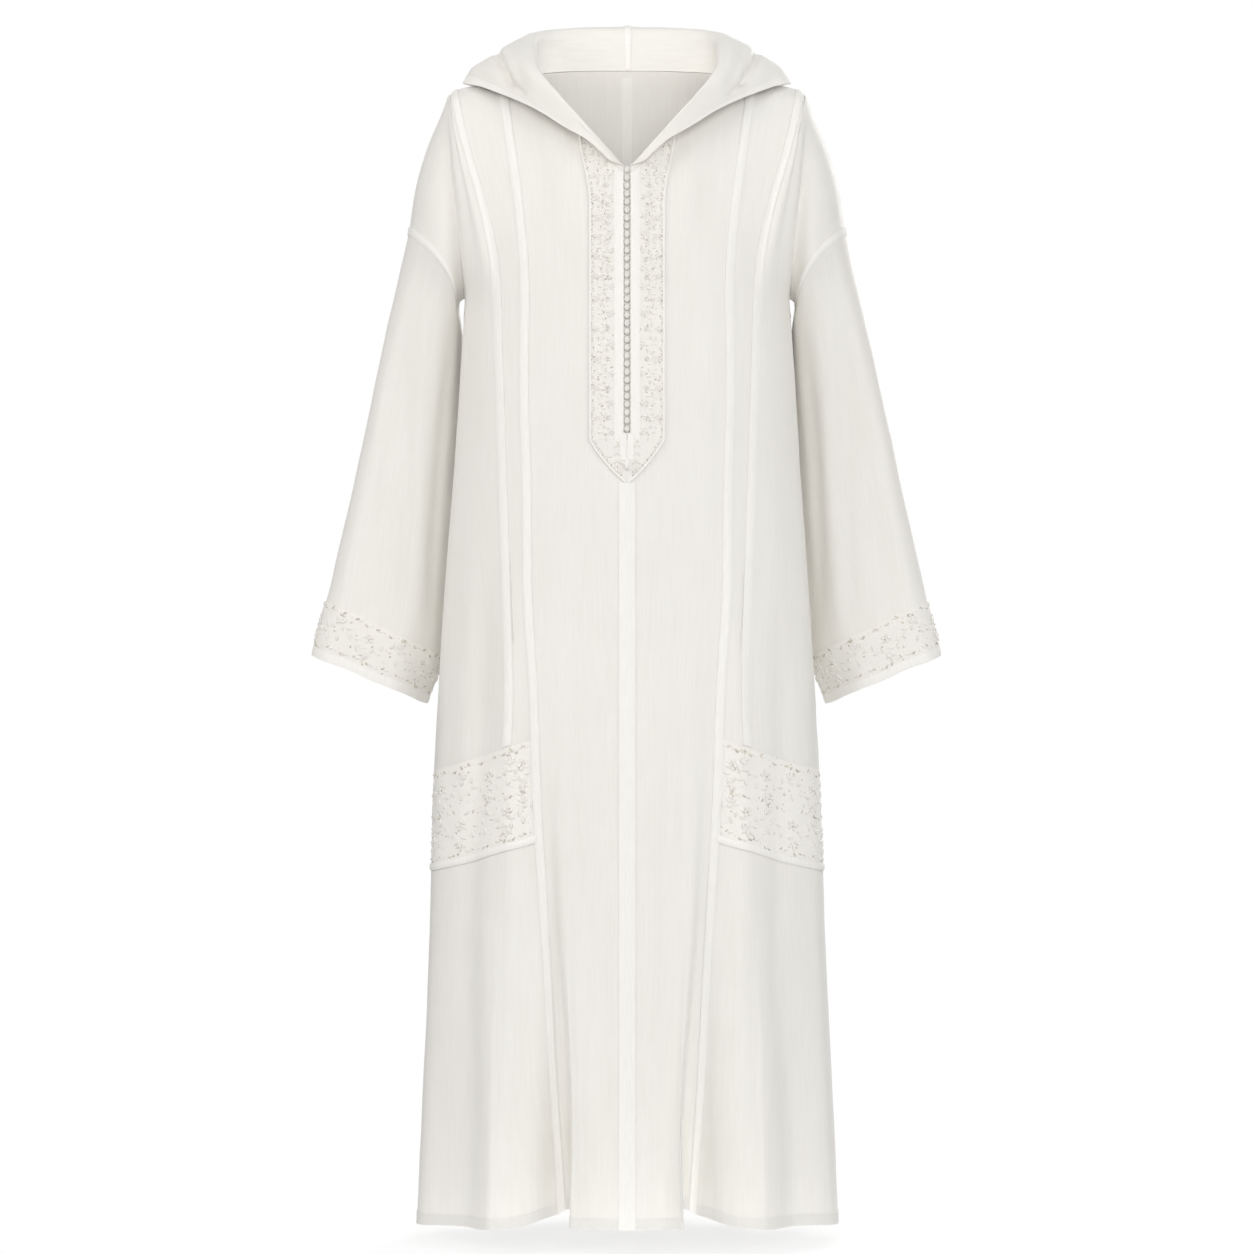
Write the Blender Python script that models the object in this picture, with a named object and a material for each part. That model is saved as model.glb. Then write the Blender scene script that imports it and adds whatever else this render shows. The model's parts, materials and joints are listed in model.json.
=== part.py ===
"""A long hooded robe with a half-length button placket, filled out as when it is worn.

Metres, +Z up, the front faces -Y. The origin lies between the shoulders, where the wearer holds
the robe up. "Left" is the wearer's left, at +X. One half is worked out and then mirrored.
"""

import math

import bpy
import numpy as np
from mathutils import Vector
from mathutils.bvhtree import BVHTree

# Cloth and seams
CLOTH = 0.0015             # wall of the dress cloth
TRIM = 0.0011              # wall of tapes and embroidered bands
SEAM = 0.0003              # gap between two pieces that are sewn together
ON_TOP = {"inner": 0.0006, "outer": 0.0006 + TRIM}    # a trim that lies on the dress cloth
ON_SEAM = {"inner": 0.0012, "outer": 0.0012 + TRIM}   # the same over the thick sleeve seam

# Body, shoulder to hem
HEM_Z = -1.400
UNDERARM_Z = -0.268
ROUNDNESS = 2.3            # 2 is an ellipse, more is squarer
UPPER_ROWS = 8             # rows of facets from the shoulder down to the underarm

# Neck, shoulder and placket
FRONT_NECK = (0.0, -0.114, -0.107)
SIDE_NECK = (0.122, 0.005, -0.002)
BACK_NECK = (0.0, 0.080, 0.0105)
SHOULDER_TIP = (0.2205, 0.010, -0.029)
SHOULDER_SEAMS = (0.1507, 0.2120)    # where the two long front seams start
SLIT_HALF = 0.0041         # half the opening that the buttons close
FACING_EDGE = 0.0150
BAND_EDGE = 0.0440
UNDER_COLLAR = 0.008       # the bands stop this far below the neckline
SLIT_END_Z = -0.446
PLACKET_TIP_Z = -0.497
TAPE_HALF = 0.0050         # half the width of the seam tapes
FRONT_TAPE_HALF = 0.0100

# Buttons
BUTTON_RADIUS = 0.0038
BUTTON_NECK = 0.0014       # radius of the cord between two buttons
BUTTON_PITCH = 0.0098
BUTTON_COUNT = 33
FIRST_BUTTON_Z = -0.1120

# Pocket bands slant down towards the side seam
BAND_TOP_Z = -0.8024
BAND_FOOT_Z = -0.9224
BAND_SLANT = 0.041
PIPING = 0.0085            # width of the white piping under the pocket band

# Cross-sections of the body
BODY_COLUMNS = ("z", "half_width", "front", "back")
BODY = (
    (-0.268, 0.1990, 0.120, 0.116),
    (-0.380, 0.2060, 0.121, 0.118),
    (-0.497, 0.2135, 0.117, 0.117),
    (-0.630, 0.2230, 0.116, 0.120),
    (-0.755, 0.2305, 0.122, 0.130),
    (-0.860, 0.2360, 0.128, 0.136),
    (-1.050, 0.2425, 0.137, 0.143),
    (-1.230, 0.2500, 0.145, 0.149),
    (-1.400, 0.2570, 0.150, 0.154),
)

# The two long seams of the front, seen from the front
SEAM_COLUMNS = ("z", "princess", "side_front")
SEAMS = (
    (-0.268, 0.1225, 0.1570),
    (-0.390, 0.1235, 0.1530),
    (-0.497, 0.1205, 0.1495),
    (-0.630, 0.1190, 0.1450),
    (-0.755, 0.1115, 0.1410),
    (-0.860, 0.1085, 0.1460),
    (-1.050, 0.1000, 0.1550),
    (-1.230, 0.0935, 0.1600),
    (-1.400, 0.0775, 0.1620),
)

# Heights of the rows below the underarm, at centre front
LOWER_ROWS = (
    UNDERARM_Z, -0.330, -0.390, SLIT_END_Z, -0.472, PLACKET_TIP_Z, -0.560, -0.630, -0.700,
    -0.755, BAND_TOP_Z, -0.862, BAND_FOOT_Z, -0.985, -1.055, -1.125, -1.195, -1.265, -1.335, HEM_Z,
)

# Columns of facets across the front, from centre front to the side seam
SLIT, FACING, BAND, NECK, PRINCESS, SECOND, SIDE = 1, 2, 3, 5, 7, 12, 16
NECK_BACK = 3              # column of the back that ends at the side of the neck
EDGE = "edge"              # stands for the points under the edge of the sleeve tape
STUB_STEPS = (0, 1, 2, EDGE, 3)
UNDERARM_KEYS = [("side", UPPER_ROWS)] + [("stub", UPPER_ROWS, step) for step in STUB_STEPS[1:]]
UNDERARM_GAP = 0.0010      # where four seams meet they are eased apart

# Folds of the skirt: how far a column has moved out at the hem, and the height where it starts
FOLD_COLUMNS = ("column", "start_z", "at_hem")
FRONT_FOLDS = (
    (2, -0.700, 0.0020),
    (3, -0.560, -0.0050),
    (4, -0.600, 0.0030),
    (5, -0.780, 0.0050),
    (6, -0.800, -0.0480),
    (7, -0.800, -0.0500),
    (8, -0.800, -0.0460),
    (9, -0.800, -0.0320),
    (10, -0.760, -0.0090),
    (11, -0.700, 0.0040),
    (12, -0.700, 0.0070),
    (13, -0.700, 0.0060),
    (14, -0.450, -0.0110),
    (15, -0.500, 0.0040),
)
BACK_FOLDS = (
    (1, -0.600, 0.0050),
    (2, -0.450, -0.0120),
    (3, -0.600, 0.0060),
    (4, -0.560, -0.0320),
    (5, -0.700, 0.0080),
    (6, -0.520, -0.0130),
    (7, -0.600, 0.0060),
    (8, -0.450, -0.0160),
)
HEM_LIFT = 0.014           # the hem rises where the skirt folds in
FRONT_HEM_LIFT = 0.008     # the front hem hangs a little higher than the sides

# Where the sleeve is sewn on, below the shoulder, from the top round to the underarm
DROP_COLUMNS = ("x", "front_y", "back_y", "z")
DROP_SEAM = (
    (0.2680, 0.012, 0.012, -0.1840),
    (0.2620, -0.018, 0.042, -0.1885),
    (0.2520, -0.036, 0.060, -0.1965),
    (0.2400, -0.046, 0.070, -0.2075),
    (0.2290, -0.051, 0.074, -0.2200),
    (0.2200, -0.049, 0.073, -0.2330),
    (0.2130, -0.041, 0.066, -0.2480),
    (0.2090, -0.020, 0.044, -0.2660),
    (0.2090, 0.012, 0.012, -0.2790),
)
CAP_BULGE = 0.009

# Cross-sections of the sleeve: outer edge, inner edge, half the depth
SLEEVE_COLUMNS = ("outer_x", "outer_y", "outer_z", "inner_x", "inner_y", "inner_z", "half_depth")
SLEEVE = (
    (0.2680, 0.012, -0.184, 0.2090, 0.012, -0.279, 0.055),
    (0.2770, 0.016, -0.225, 0.2035, 0.033, -0.306, 0.054),
    (0.2900, 0.020, -0.282, 0.2030, 0.044, -0.350, 0.052),
    (0.3060, 0.026, -0.355, 0.2060, 0.050, -0.411, 0.051),
    (0.3225, 0.030, -0.430, 0.2110, 0.054, -0.482, 0.050),
    (0.3390, 0.034, -0.505, 0.2160, 0.057, -0.553, 0.050),
    (0.3555, 0.036, -0.575, 0.2215, 0.059, -0.625, 0.050),
    (0.3700, 0.036, -0.638, 0.2290, 0.059, -0.7056, 0.050),
    (0.3845, 0.035, -0.692, 0.2445, 0.057, -0.7535, 0.050),
    (0.3870, 0.035, -0.704, 0.2480, 0.057, -0.7640, 0.050),
)
CUFF_BAND_ROW = 7
CUFF_HEM_ROW = 8
# Folds round the sleeve, from its outer edge over the front, inner edge and back
SLEEVE_FOLDS = (0.0, 0.002, 0.003, -0.006, -0.003, 0.004, 0.002, -0.002,
                0.0, -0.003, 0.003, 0.004, -0.006, -0.002, 0.004, 0.002)

# Hood, lying down. Each station runs from the neck seam over the roll to the edge that frames
# the face. The share goes from the placket (0) round the neck to centre back (1).
HOOD_COLUMNS = ("share", "roll_x", "roll_y", "roll_z", "edge_x", "edge_y", "edge_z", "hang")
HOOD = (
    (0.00, 0.0060, -0.1180, -0.1010, 0.0120, -0.1250, -0.1080, 0.000),
    (0.12, 0.0245, -0.1150, -0.0810, 0.0400, -0.1150, -0.0800, 0.000),
    (0.24, 0.0460, -0.1060, -0.0560, 0.0740, -0.1000, -0.0590, 0.000),
    (0.36, 0.0720, -0.0880, -0.0260, 0.1080, -0.0780, -0.0380, 0.000),
    (0.48, 0.0960, -0.0590, 0.0060, 0.1440, -0.0450, -0.0200, 0.000),
    (0.58, 0.1090, -0.0200, 0.0310, 0.1760, -0.0150, -0.0080, 0.004),
    (0.68, 0.1120, 0.0330, 0.0480, 0.1980, 0.0300, 0.0000, 0.012),
    (0.78, 0.0960, 0.0760, 0.0580, 0.1750, 0.1200, 0.0080, 0.070),
    (0.89, 0.0500, 0.0960, 0.0625, 0.0950, 0.1640, 0.0220, 0.170),
    (1.00, 0.0000, 0.1000, 0.0635, 0.0000, 0.1760, 0.0280, 0.240),
)
HOOD_PATH = 11
ROLL_WIDTH = 0.012
HOOD_CLEARANCE = 0.0045

IVORY = (0.845, 0.828, 0.793)
WHITE = (0.900, 0.890, 0.860)
EMBROIDERED = (0.770, 0.745, 0.690)


def column_of(table, names, name):
    """One named column of a table."""
    return np.array([row[names.index(name)] for row in table])


def smooth(table, names, name, at):
    """Value of a column at a place given by the table's first column, on a smooth curve."""
    places = column_of(table, names, names[0])
    values = column_of(table, names, name)
    slopes = np.gradient(values, places)
    if places[0] > places[-1]:
        places, values, slopes = places[::-1], values[::-1], slopes[::-1]
    at = min(max(at, places[0]), places[-1])
    i = min(int(np.searchsorted(places, at, side="right")) - 1, len(places) - 2)
    step = places[i + 1] - places[i]
    t = (at - places[i]) / step
    return float(
        values[i] * (1 + 2 * t) * (1 - t) ** 2 + slopes[i] * step * t * (1 - t) ** 2
        + values[i + 1] * t * t * (3 - 2 * t) - slopes[i + 1] * step * t * t * (1 - t)
    )


def ease(value, low, high):
    """0 below low, 1 above high, smooth between."""
    t = min(max((value - low) / (high - low), 0.0), 1.0)
    return t * t * (3 - 2 * t)


def unit(vector):
    return vector / max(np.linalg.norm(vector), 1e-12)


def hermite(start, end, start_slope, end_slope, t):
    """Smooth curve between two points with given slopes."""
    return (
        start * (1 + 2 * t) * (1 - t) ** 2 + start_slope * t * (1 - t) ** 2
        + end * t * t * (3 - 2 * t) - end_slope * t * t * (1 - t)
    )


def towards(start, end, distance):
    """Point a short way from one point to another."""
    length = np.linalg.norm(end - start)
    return start + (end - start) * min(distance / length, 0.6)


def ring_point(angle, z):
    """Point of the body's cross-section: angle 0 is centre front, pi / 2 the side."""
    half = smooth(BODY, BODY_COLUMNS, "half_width", z)
    depth = smooth(BODY, BODY_COLUMNS, "front" if math.cos(angle) > 0 else "back", z)
    x = half * abs(math.sin(angle)) ** (2 / ROUNDNESS)
    y = -math.copysign(depth * abs(math.cos(angle)) ** (2 / ROUNDNESS), math.cos(angle))
    return np.array([x, y, z])


def front_angles(z):
    """Angles of the columns from centre front to the side seam at one height."""
    half = smooth(BODY, BODY_COLUMNS, "half_width", z)
    princess = smooth(SEAMS, SEAM_COLUMNS, "princess", z)
    second = smooth(SEAMS, SEAM_COLUMNS, "side_front", z)
    drop = (z - UNDERARM_Z) / (HEM_Z - UNDERARM_Z)
    before = princess - (0.024 - 0.013 * drop)
    after = princess + 0.012 + 0.006 * drop
    places = [
        0.0, SLIT_HALF, FACING_EDGE, BAND_EDGE, 0.5 * (BAND_EDGE + before), before,
        princess - TAPE_HALF, princess, princess + TAPE_HALF, after, 0.5 * (after + second),
        second - TAPE_HALF, second, second + TAPE_HALF,
    ]
    angles = [math.asin((x / half) ** (ROUNDNESS / 2)) for x in places]
    last = angles[-1]
    return angles + [last + share * (math.pi / 2 - last) for share in (1 / 3, 2 / 3, 1.0)]


def back_angles():
    """Angles of the columns from the side seam (0) to centre back (8)."""
    return [math.pi / 2 * (1 + i / 8) for i in range(9)]


def fold_depth(folds, column, z):
    """How far a column has moved out at one height."""
    for number, start_z, at_hem in folds:
        if number == column:
            return at_hem * ((start_z - z) / (start_z - HEM_Z)) ** 1.25 if z < start_z else 0.0
    return 0.0


def slant(x, z, front):
    """How much lower a row lies away from the princess seam, near the pocket bands."""
    near = ease(z, -1.28, BAND_FOOT_Z) * (1 - ease(z, BAND_TOP_Z, -0.52))
    half = smooth(BODY, BODY_COLUMNS, "half_width", z)
    inner = smooth(SEAMS, SEAM_COLUMNS, "princess", z) if front else 0.0
    away = min(max((x - inner) / (half - inner), 0.0), 1.0)
    return near * BAND_SLANT * (away if front else away ** 2)


def lower_point(front, column, z):
    """Point of the body below the underarm, folds and slanted rows included."""
    angle = (front_angles(z) if front else back_angles())[column]
    shift = slant(ring_point(angle, z)[0], z, front)
    height = z - shift
    angle = (front_angles(height) if front else back_angles())[column]
    point = ring_point(angle, height)
    out = unit(np.array([point[0] / 0.22 ** 2, point[1] / 0.13 ** 2, 0.0]))
    point = point + out * fold_depth(FRONT_FOLDS if front else BACK_FOLDS, column, height)
    near_hem = ease(-z, 1.20, -HEM_Z)
    if front:
        lift = HEM_LIFT * max(0.0, 1 - abs(column - PRINCESS) / 3.2)
        lift += FRONT_HEM_LIFT * (1 - column / SIDE)
        point[2] += near_hem * lift
    return point


def front_top(column):
    """Top end of a front column, on the neckline and then along the shoulder."""
    princess, second = SHOULDER_SEAMS
    places = (0.0, SLIT_HALF, FACING_EDGE, BAND_EDGE, 0.080, SIDE_NECK[0],
              princess - TAPE_HALF, princess, princess + TAPE_HALF, 0.170, 0.190,
              second - 0.9 * TAPE_HALF, second, second + 0.7 * TAPE_HALF, 0.2172, 0.2188,
              SHOULDER_TIP[0])
    x = places[column]
    if x <= SIDE_NECK[0]:
        share = x / SIDE_NECK[0]
        y = FRONT_NECK[1] + (SIDE_NECK[1] - FRONT_NECK[1]) * share ** 1.5
        z = FRONT_NECK[2] + (SIDE_NECK[2] - FRONT_NECK[2]) * share ** 0.95
        return np.array([x, y, z])
    share = (x - SIDE_NECK[0]) / (SHOULDER_TIP[0] - SIDE_NECK[0])
    return np.array(SIDE_NECK) + share * (np.array(SHOULDER_TIP) - np.array(SIDE_NECK))


def back_top(column):
    """Top end of a back column: along the shoulder (0 to 3), then the back of the neck."""
    if column <= NECK_BACK:
        share = column / NECK_BACK
        return np.array(SHOULDER_TIP) + share * (np.array(SIDE_NECK) - np.array(SHOULDER_TIP))
    turn = (column - NECK_BACK) / 5 * math.pi / 2
    x = SIDE_NECK[0] * math.cos(turn) ** 0.75
    y = SIDE_NECK[1] + (BACK_NECK[1] - SIDE_NECK[1]) * math.sin(turn) ** 0.85
    z = SIDE_NECK[2] + (BACK_NECK[2] - SIDE_NECK[2]) * math.sin(turn)
    return np.array([x, y, z])


def upper_point(front, column, row):
    """Point of the body between the shoulder (row 0) and the underarm."""
    top = front_top(column) if front else back_top(column)
    foot = lower_point(front, column, UNDERARM_Z)
    reach = np.linalg.norm(foot - top)
    forward = -1.0 if front else 1.0
    if front:
        over = ease(top[0], 0.0, SIDE_NECK[0])
        into_armhole = min(max((column - SECOND) / (SIDE - SECOND), 0.0), 1.0) ** 1.5
    else:
        over = 0.35 + 0.65 * (1 - ease(column, NECK_BACK, 8))
        into_armhole = min(max((3 - column) / 3, 0.0), 1.0) ** 1.5
    flat = np.array([0.0, forward * 0.95, -0.30])
    steep = np.array([0.0, forward * 0.12, -1.0])
    start = unit(steep + over * (flat - steep)) * reach
    down = np.array([0.0, 0.0, -1.0])
    round_arm = np.array([0.0, -forward * 0.95, -0.42])
    end = unit(down + into_armhole * (round_arm - down)) * reach
    return hermite(top, foot, start, end, row / UPPER_ROWS)


def stub_point(front, row, step, crease):
    """Point of the dropped shoulder between the armhole crease and the sleeve seam."""
    side = "front_y" if front else "back_y"
    seam = np.array([
        column_of(DROP_SEAM, DROP_COLUMNS, "x")[row],
        column_of(DROP_SEAM, DROP_COLUMNS, side)[row],
        column_of(DROP_SEAM, DROP_COLUMNS, "z")[row],
    ])
    share = step / STUB_STEPS[-1]
    out = np.array([0.7, (-0.7 if front else 0.7) * math.sin(math.pi * row / UPPER_ROWS), 0.3])
    bulge = CAP_BULGE * math.sin(math.pi * share) * (1 - 0.8 * row / UPPER_ROWS)
    return crease + share * (seam - crease) + unit(out) * bulge


def sleeve_point(row, column, seam_ring):
    """Point of the sleeve: column 0 is its outer edge, 8 its inner edge."""
    def oval(level):
        values = dict(zip(SLEEVE_COLUMNS, SLEEVE[level]))
        outer = np.array([values["outer_x"], values["outer_y"], values["outer_z"]])
        inner = np.array([values["inner_x"], values["inner_y"], values["inner_z"]])
        turn = math.pi * column / UPPER_ROWS
        middle = 0.5 * (outer + inner)
        point = middle + 0.5 * (outer - inner) * math.cos(turn)
        return point + np.array([0.0, -values["half_depth"] * math.sin(turn), 0.0])

    fade = (1.0, 0.45, 0.12)[row] if row < 3 else 0.0
    point = oval(row) + fade * (seam_ring[column] - oval(0))
    values = dict(zip(SLEEVE_COLUMNS, SLEEVE[row]))
    middle = np.array([
        0.5 * (values["outer_x"] + values["inner_x"]),
        0.5 * (values["outer_y"] + values["inner_y"]), point[2],
    ])
    return point + unit(point - middle) * SLEEVE_FOLDS[column] * ease(row, 0, 4)


class Surface:
    """Points, outward normals and tagged facets of the wearer's left half."""

    def __init__(self):
        self.points = {}
        self.faces = []
        self.normals = {}

    def add_face(self, tag, keys):
        self.faces.append((tag, keys))

    def tagged(self, *tags):
        return [keys for tag, keys in self.faces if tag in tags]

    def work_out_normals(self):
        total = {key: np.zeros(3) for key in self.points}
        for _, keys in self.faces:
            a, b, c, d = (self.points[key] for key in keys)
            cross = np.cross(c - a, d - b)
            for key in keys:
                total[key] += cross
        for key, value in total.items():
            if abs(self.points[key][0]) < 1e-6:
                value[0] = 0.0
            self.normals[key] = unit(value)
        along = unit(np.array(SHOULDER_TIP) - np.array(SIDE_NECK))
        up = np.array([0.0, 0.0, 1.0])
        shoulder = [("front", 0, column) for column in range(NECK, SIDE + 1)]
        shoulder += [("back", 0, column) for column in range(NECK_BACK + 1)]
        for key in shoulder:
            self.normals[key] = unit(up - (up @ along) * along)


def body_surface():
    """The body, the dropped shoulder and the sleeve as one surface of named points."""
    surface = Surface()
    last_row = UPPER_ROWS + len(LOWER_ROWS) - 1

    def front_key(row, column):
        return ("side", row) if column == SIDE and row >= UPPER_ROWS else ("front", row, column)

    def back_key(row, column):
        return ("side", row) if column == 0 and row >= UPPER_ROWS else ("back", row, column)

    def place(front, row, column):
        if row < UPPER_ROWS:
            return upper_point(front, column, row)
        return lower_point(front, column, LOWER_ROWS[row - UPPER_ROWS])

    for row in range(last_row + 1):
        for column in range(9):
            surface.points[back_key(row, column)] = place(False, row, column)
        for column in range(SIDE + 1):
            surface.points[front_key(row, column)] = place(True, row, column)

    def stub_key(front, row, step):
        if step == 0:
            return front_key(row, SIDE) if front else back_key(row, 0)
        name = "stub" if row in (0, UPPER_ROWS) else ("stub_f" if front else "stub_b")
        return (name, row, step)

    for row in range(UPPER_ROWS + 1):
        for front in (True, False):
            line = [stub_key(front, row, step) for step in STUB_STEPS]
            crease = surface.points[line[0]]
            for key in line[1:]:
                if key[-1] != EDGE:
                    surface.points[key] = stub_point(front, row, key[-1], crease)
            surface.points[line[3]] = towards(surface.points[line[4]], surface.points[line[2]],
                                              TAPE_HALF)
    for row in range(last_row):
        for column in range(SIDE):
            keys = (front_key(row, column), front_key(row + 1, column),
                    front_key(row + 1, column + 1), front_key(row, column + 1))
            surface.add_face(front_tag(row, column), keys)
        for column in range(8):
            keys = (back_key(row, column), back_key(row + 1, column),
                    back_key(row + 1, column + 1), back_key(row, column + 1))
            surface.add_face("back", keys)
    for row in range(UPPER_ROWS):
        for step, after in zip(STUB_STEPS, STUB_STEPS[1:]):
            surface.add_face("side", (stub_key(True, row, step), stub_key(True, row + 1, step),
                                      stub_key(True, row + 1, after), stub_key(True, row, after)))
            surface.add_face("back", (stub_key(False, row, after), stub_key(False, row + 1, after),
                                      stub_key(False, row + 1, step), stub_key(False, row, step)))

    seam_keys = [stub_key(True, row, STUB_STEPS[-1]) for row in range(UPPER_ROWS + 1)]
    seam_keys += [stub_key(False, row, STUB_STEPS[-1]) for row in range(UPPER_ROWS - 1, 0, -1)]
    seam_ring = [surface.points[key] for key in seam_keys]
    count = len(seam_keys)

    def sleeve_key(row, column):
        return seam_keys[column % count] if row == 0 else ("sleeve", row, column % count)

    for row in range(1, len(SLEEVE)):
        for column in range(count):
            surface.points[sleeve_key(row, column)] = sleeve_point(row, column, seam_ring)
    for column in range(count):
        surface.points[sleeve_key(EDGE, column)] = towards(
            seam_ring[column], surface.points[sleeve_key(1, column)], TAPE_HALF)
    rows = [0, EDGE] + list(range(1, len(SLEEVE)))
    tags = {CUFF_BAND_ROW: "cuff", CUFF_HEM_ROW: "cuff_hem"}
    for row, after in zip(rows, rows[1:]):
        for column in range(count):
            keys = (sleeve_key(row, column), sleeve_key(row, column + 1),
                    sleeve_key(after, column + 1), sleeve_key(after, column))
            surface.add_face(tags.get(row, "sleeve"), keys)
    surface.work_out_normals()
    return surface, seam_keys


def front_tag(row, column):
    """Which front panel a facet belongs to."""
    slit_row = UPPER_ROWS + LOWER_ROWS.index(SLIT_END_Z)
    band_row = UPPER_ROWS + LOWER_ROWS.index(BAND_TOP_Z)
    foot_row = UPPER_ROWS + LOWER_ROWS.index(BAND_FOOT_Z)
    if column < SLIT and row < slit_row:
        return "slit"
    if column < PRINCESS:
        return "front"
    if row >= foot_row:
        return "lower_side"
    if row >= band_row:
        return "pocket_band"
    return "side_front" if column < SECOND else "side"


def make_material(name, colour, roughness):
    material = bpy.data.materials.new(name)
    material.use_nodes = True
    shader = material.node_tree.nodes["Principled BSDF"]
    shader.inputs["Base Color"].default_value = (*colour, 1.0)
    shader.inputs["Roughness"].default_value = roughness
    shader.inputs["Metallic"].default_value = 0.0
    return material


def add_object(name, points, faces, colour, roughness=0.75):
    """One closed body from points and facets that point outwards."""
    mesh = bpy.data.meshes.new(name)
    mesh.from_pydata([tuple(point) for point in points], [], faces)
    mesh.validate()
    mesh.materials.append(make_material(name, colour, roughness))
    mesh.shade_smooth()
    mesh.set_sharp_from_angle(angle=math.radians(50))
    obj = bpy.data.objects.new(name, mesh)
    bpy.context.scene.collection.objects.link(obj)
    return obj


def pull_in(points, faces, distance):
    """Shift of each rim point towards the inside of its piece, which opens the seam gap."""
    sides = {}
    for keys in faces:
        corners = [points[key] for key in keys]
        normal = np.cross(corners[2] - corners[0], corners[-1] - corners[1])
        for i, key in enumerate(keys):
            after = keys[(i + 1) % len(keys)]
            sides[(key, after)] = unit(np.cross(normal, points[after] - points[key]))
    shift = {}
    rim = [(pair, inward) for pair, inward in sides.items() if pair[::-1] not in sides]
    for (key, after), inward in rim:
        for end in (key, after):
            shift.setdefault(end, []).append(inward)
    result = {}
    for key, inwards in shift.items():
        mean = unit(sum(inwards))
        room = UNDERARM_GAP if key in UNDERARM_KEYS else distance
        result[key] = mean * room / max(0.5, float(mean @ inwards[0]))
    return result, [pair for pair, _ in rim]


def wall(name, points, normals, faces, colour, outer=0.0, inner=-CLOTH, gap=SEAM / 2,
         mirror=False):
    """A cloth wall: facets, the same facets moved along the normals, and a closed rim."""
    shift, rim = pull_in(points, faces, gap)
    keys = sorted({key for face in faces for key in face}, key=str)
    index = {key: i for i, key in enumerate(keys)}
    count = len(keys)
    base = [points[key] + shift.get(key, 0.0) for key in keys]
    solid = [base[i] + normals[key] * outer for i, key in enumerate(keys)]
    solid += [base[i] + normals[key] * inner for i, key in enumerate(keys)]
    triangles = []
    for face in faces:
        corners = [index[key] for key in face]
        triangles += [[corners[0], corners[i], corners[i + 1]] for i in range(1, len(face) - 1)]
    polygons = triangles + [[i + count for i in reversed(corners)] for corners in triangles]
    for key, after in rim:
        polygons.append([index[after], index[key], index[key] + count, index[after] + count])
    if mirror:
        solid = [point * np.array([-1.0, 1.0, 1.0]) for point in solid]
        polygons = [polygon[::-1] for polygon in polygons]
    return add_object(name, solid, polygons, colour)


def both_sides(name, points, normals, faces, colour, **sizes):
    """The same wall on the wearer's left and right."""
    wall(f"{name}_left", points, normals, faces, colour, **sizes)
    wall(f"{name}_right", points, normals, faces, colour, mirror=True, **sizes)


def tape_along(line, before, after, points, half):
    """Three points across for each seam point, with normals square to each side of the tape."""
    tape_points, tape_normals, faces = {}, {}, []
    last = len(line) - 1
    for i, key in enumerate(line):
        along = unit(points[line[min(i + 1, last)]] - points[line[max(i - 1, 0)]])
        seam = points[key]
        sides = []
        for j, neighbour in ((0, before[i]), (2, after[i])):
            across = points[neighbour] - seam
            tape_points[(i, j)] = seam + unit(across) * half
            normal = unit(np.cross(along, across))
            sides.append(-normal if j == 0 else normal)
            tape_normals[(i, j)] = sides[-1]
        tape_points[(i, 1)] = seam
        middle = unit(sides[0] + sides[1])
        tape_normals[(i, 1)] = middle / max(0.4, float(middle @ sides[0]))
    for i in range(last):
        for j in (0, 1):
            faces.append(((i, j), (i + 1, j), (i + 1, j + 1), (i, j + 1)))
    return tape_points, tape_normals, faces


def make_panels(surface):
    """The cut panels of the body and the sleeves."""
    for name, tags, colour in (
        ("front", ("front",), IVORY),
        ("side_front", ("side_front",), IVORY),
        ("side", ("side",), IVORY),
        ("lower_side", ("lower_side",), IVORY),
        ("back", ("back",), IVORY),
    ):
        both_sides(name, surface.points, surface.normals, surface.tagged(*tags), colour)
    both_sides("sleeve", surface.points, surface.normals,
               surface.tagged("sleeve", "cuff", "cuff_hem"), IVORY, gap=2 * SEAM)
    both_sides("pocket_band", surface.points, surface.normals, surface.tagged("pocket_band"),
               EMBROIDERED)
    both_sides("cuff_band", surface.points, surface.normals, surface.tagged("cuff"),
               EMBROIDERED, **ON_TOP)
    both_sides("cuff_hem", surface.points, surface.normals, surface.tagged("cuff_hem"),
               WHITE, **ON_TOP)


def cut_below_collar(points, normals, left, right):
    """Facets between two columns of the top row, cut off where the collar covers them."""
    ends = {
        ("cut", left): (("front", 0, left), ("front", 1, left)),
        ("cut", left, right): (("front", 0, left), ("front", 1, right)),
        ("cut", right): (("front", 0, right), ("front", 1, right)),
    }
    for key, (top, foot) in ends.items():
        run = points[foot] - points[top]
        points[key] = points[top] + unit(run) * UNDER_COLLAR
        normals[key] = unit(normals[top] + normals[foot])
    return [
        (("cut", left), ("front", 1, left), ("front", 1, right), ("cut", left, right)),
        (("cut", left, right), ("front", 1, right), ("cut", right)),
    ]


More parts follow.
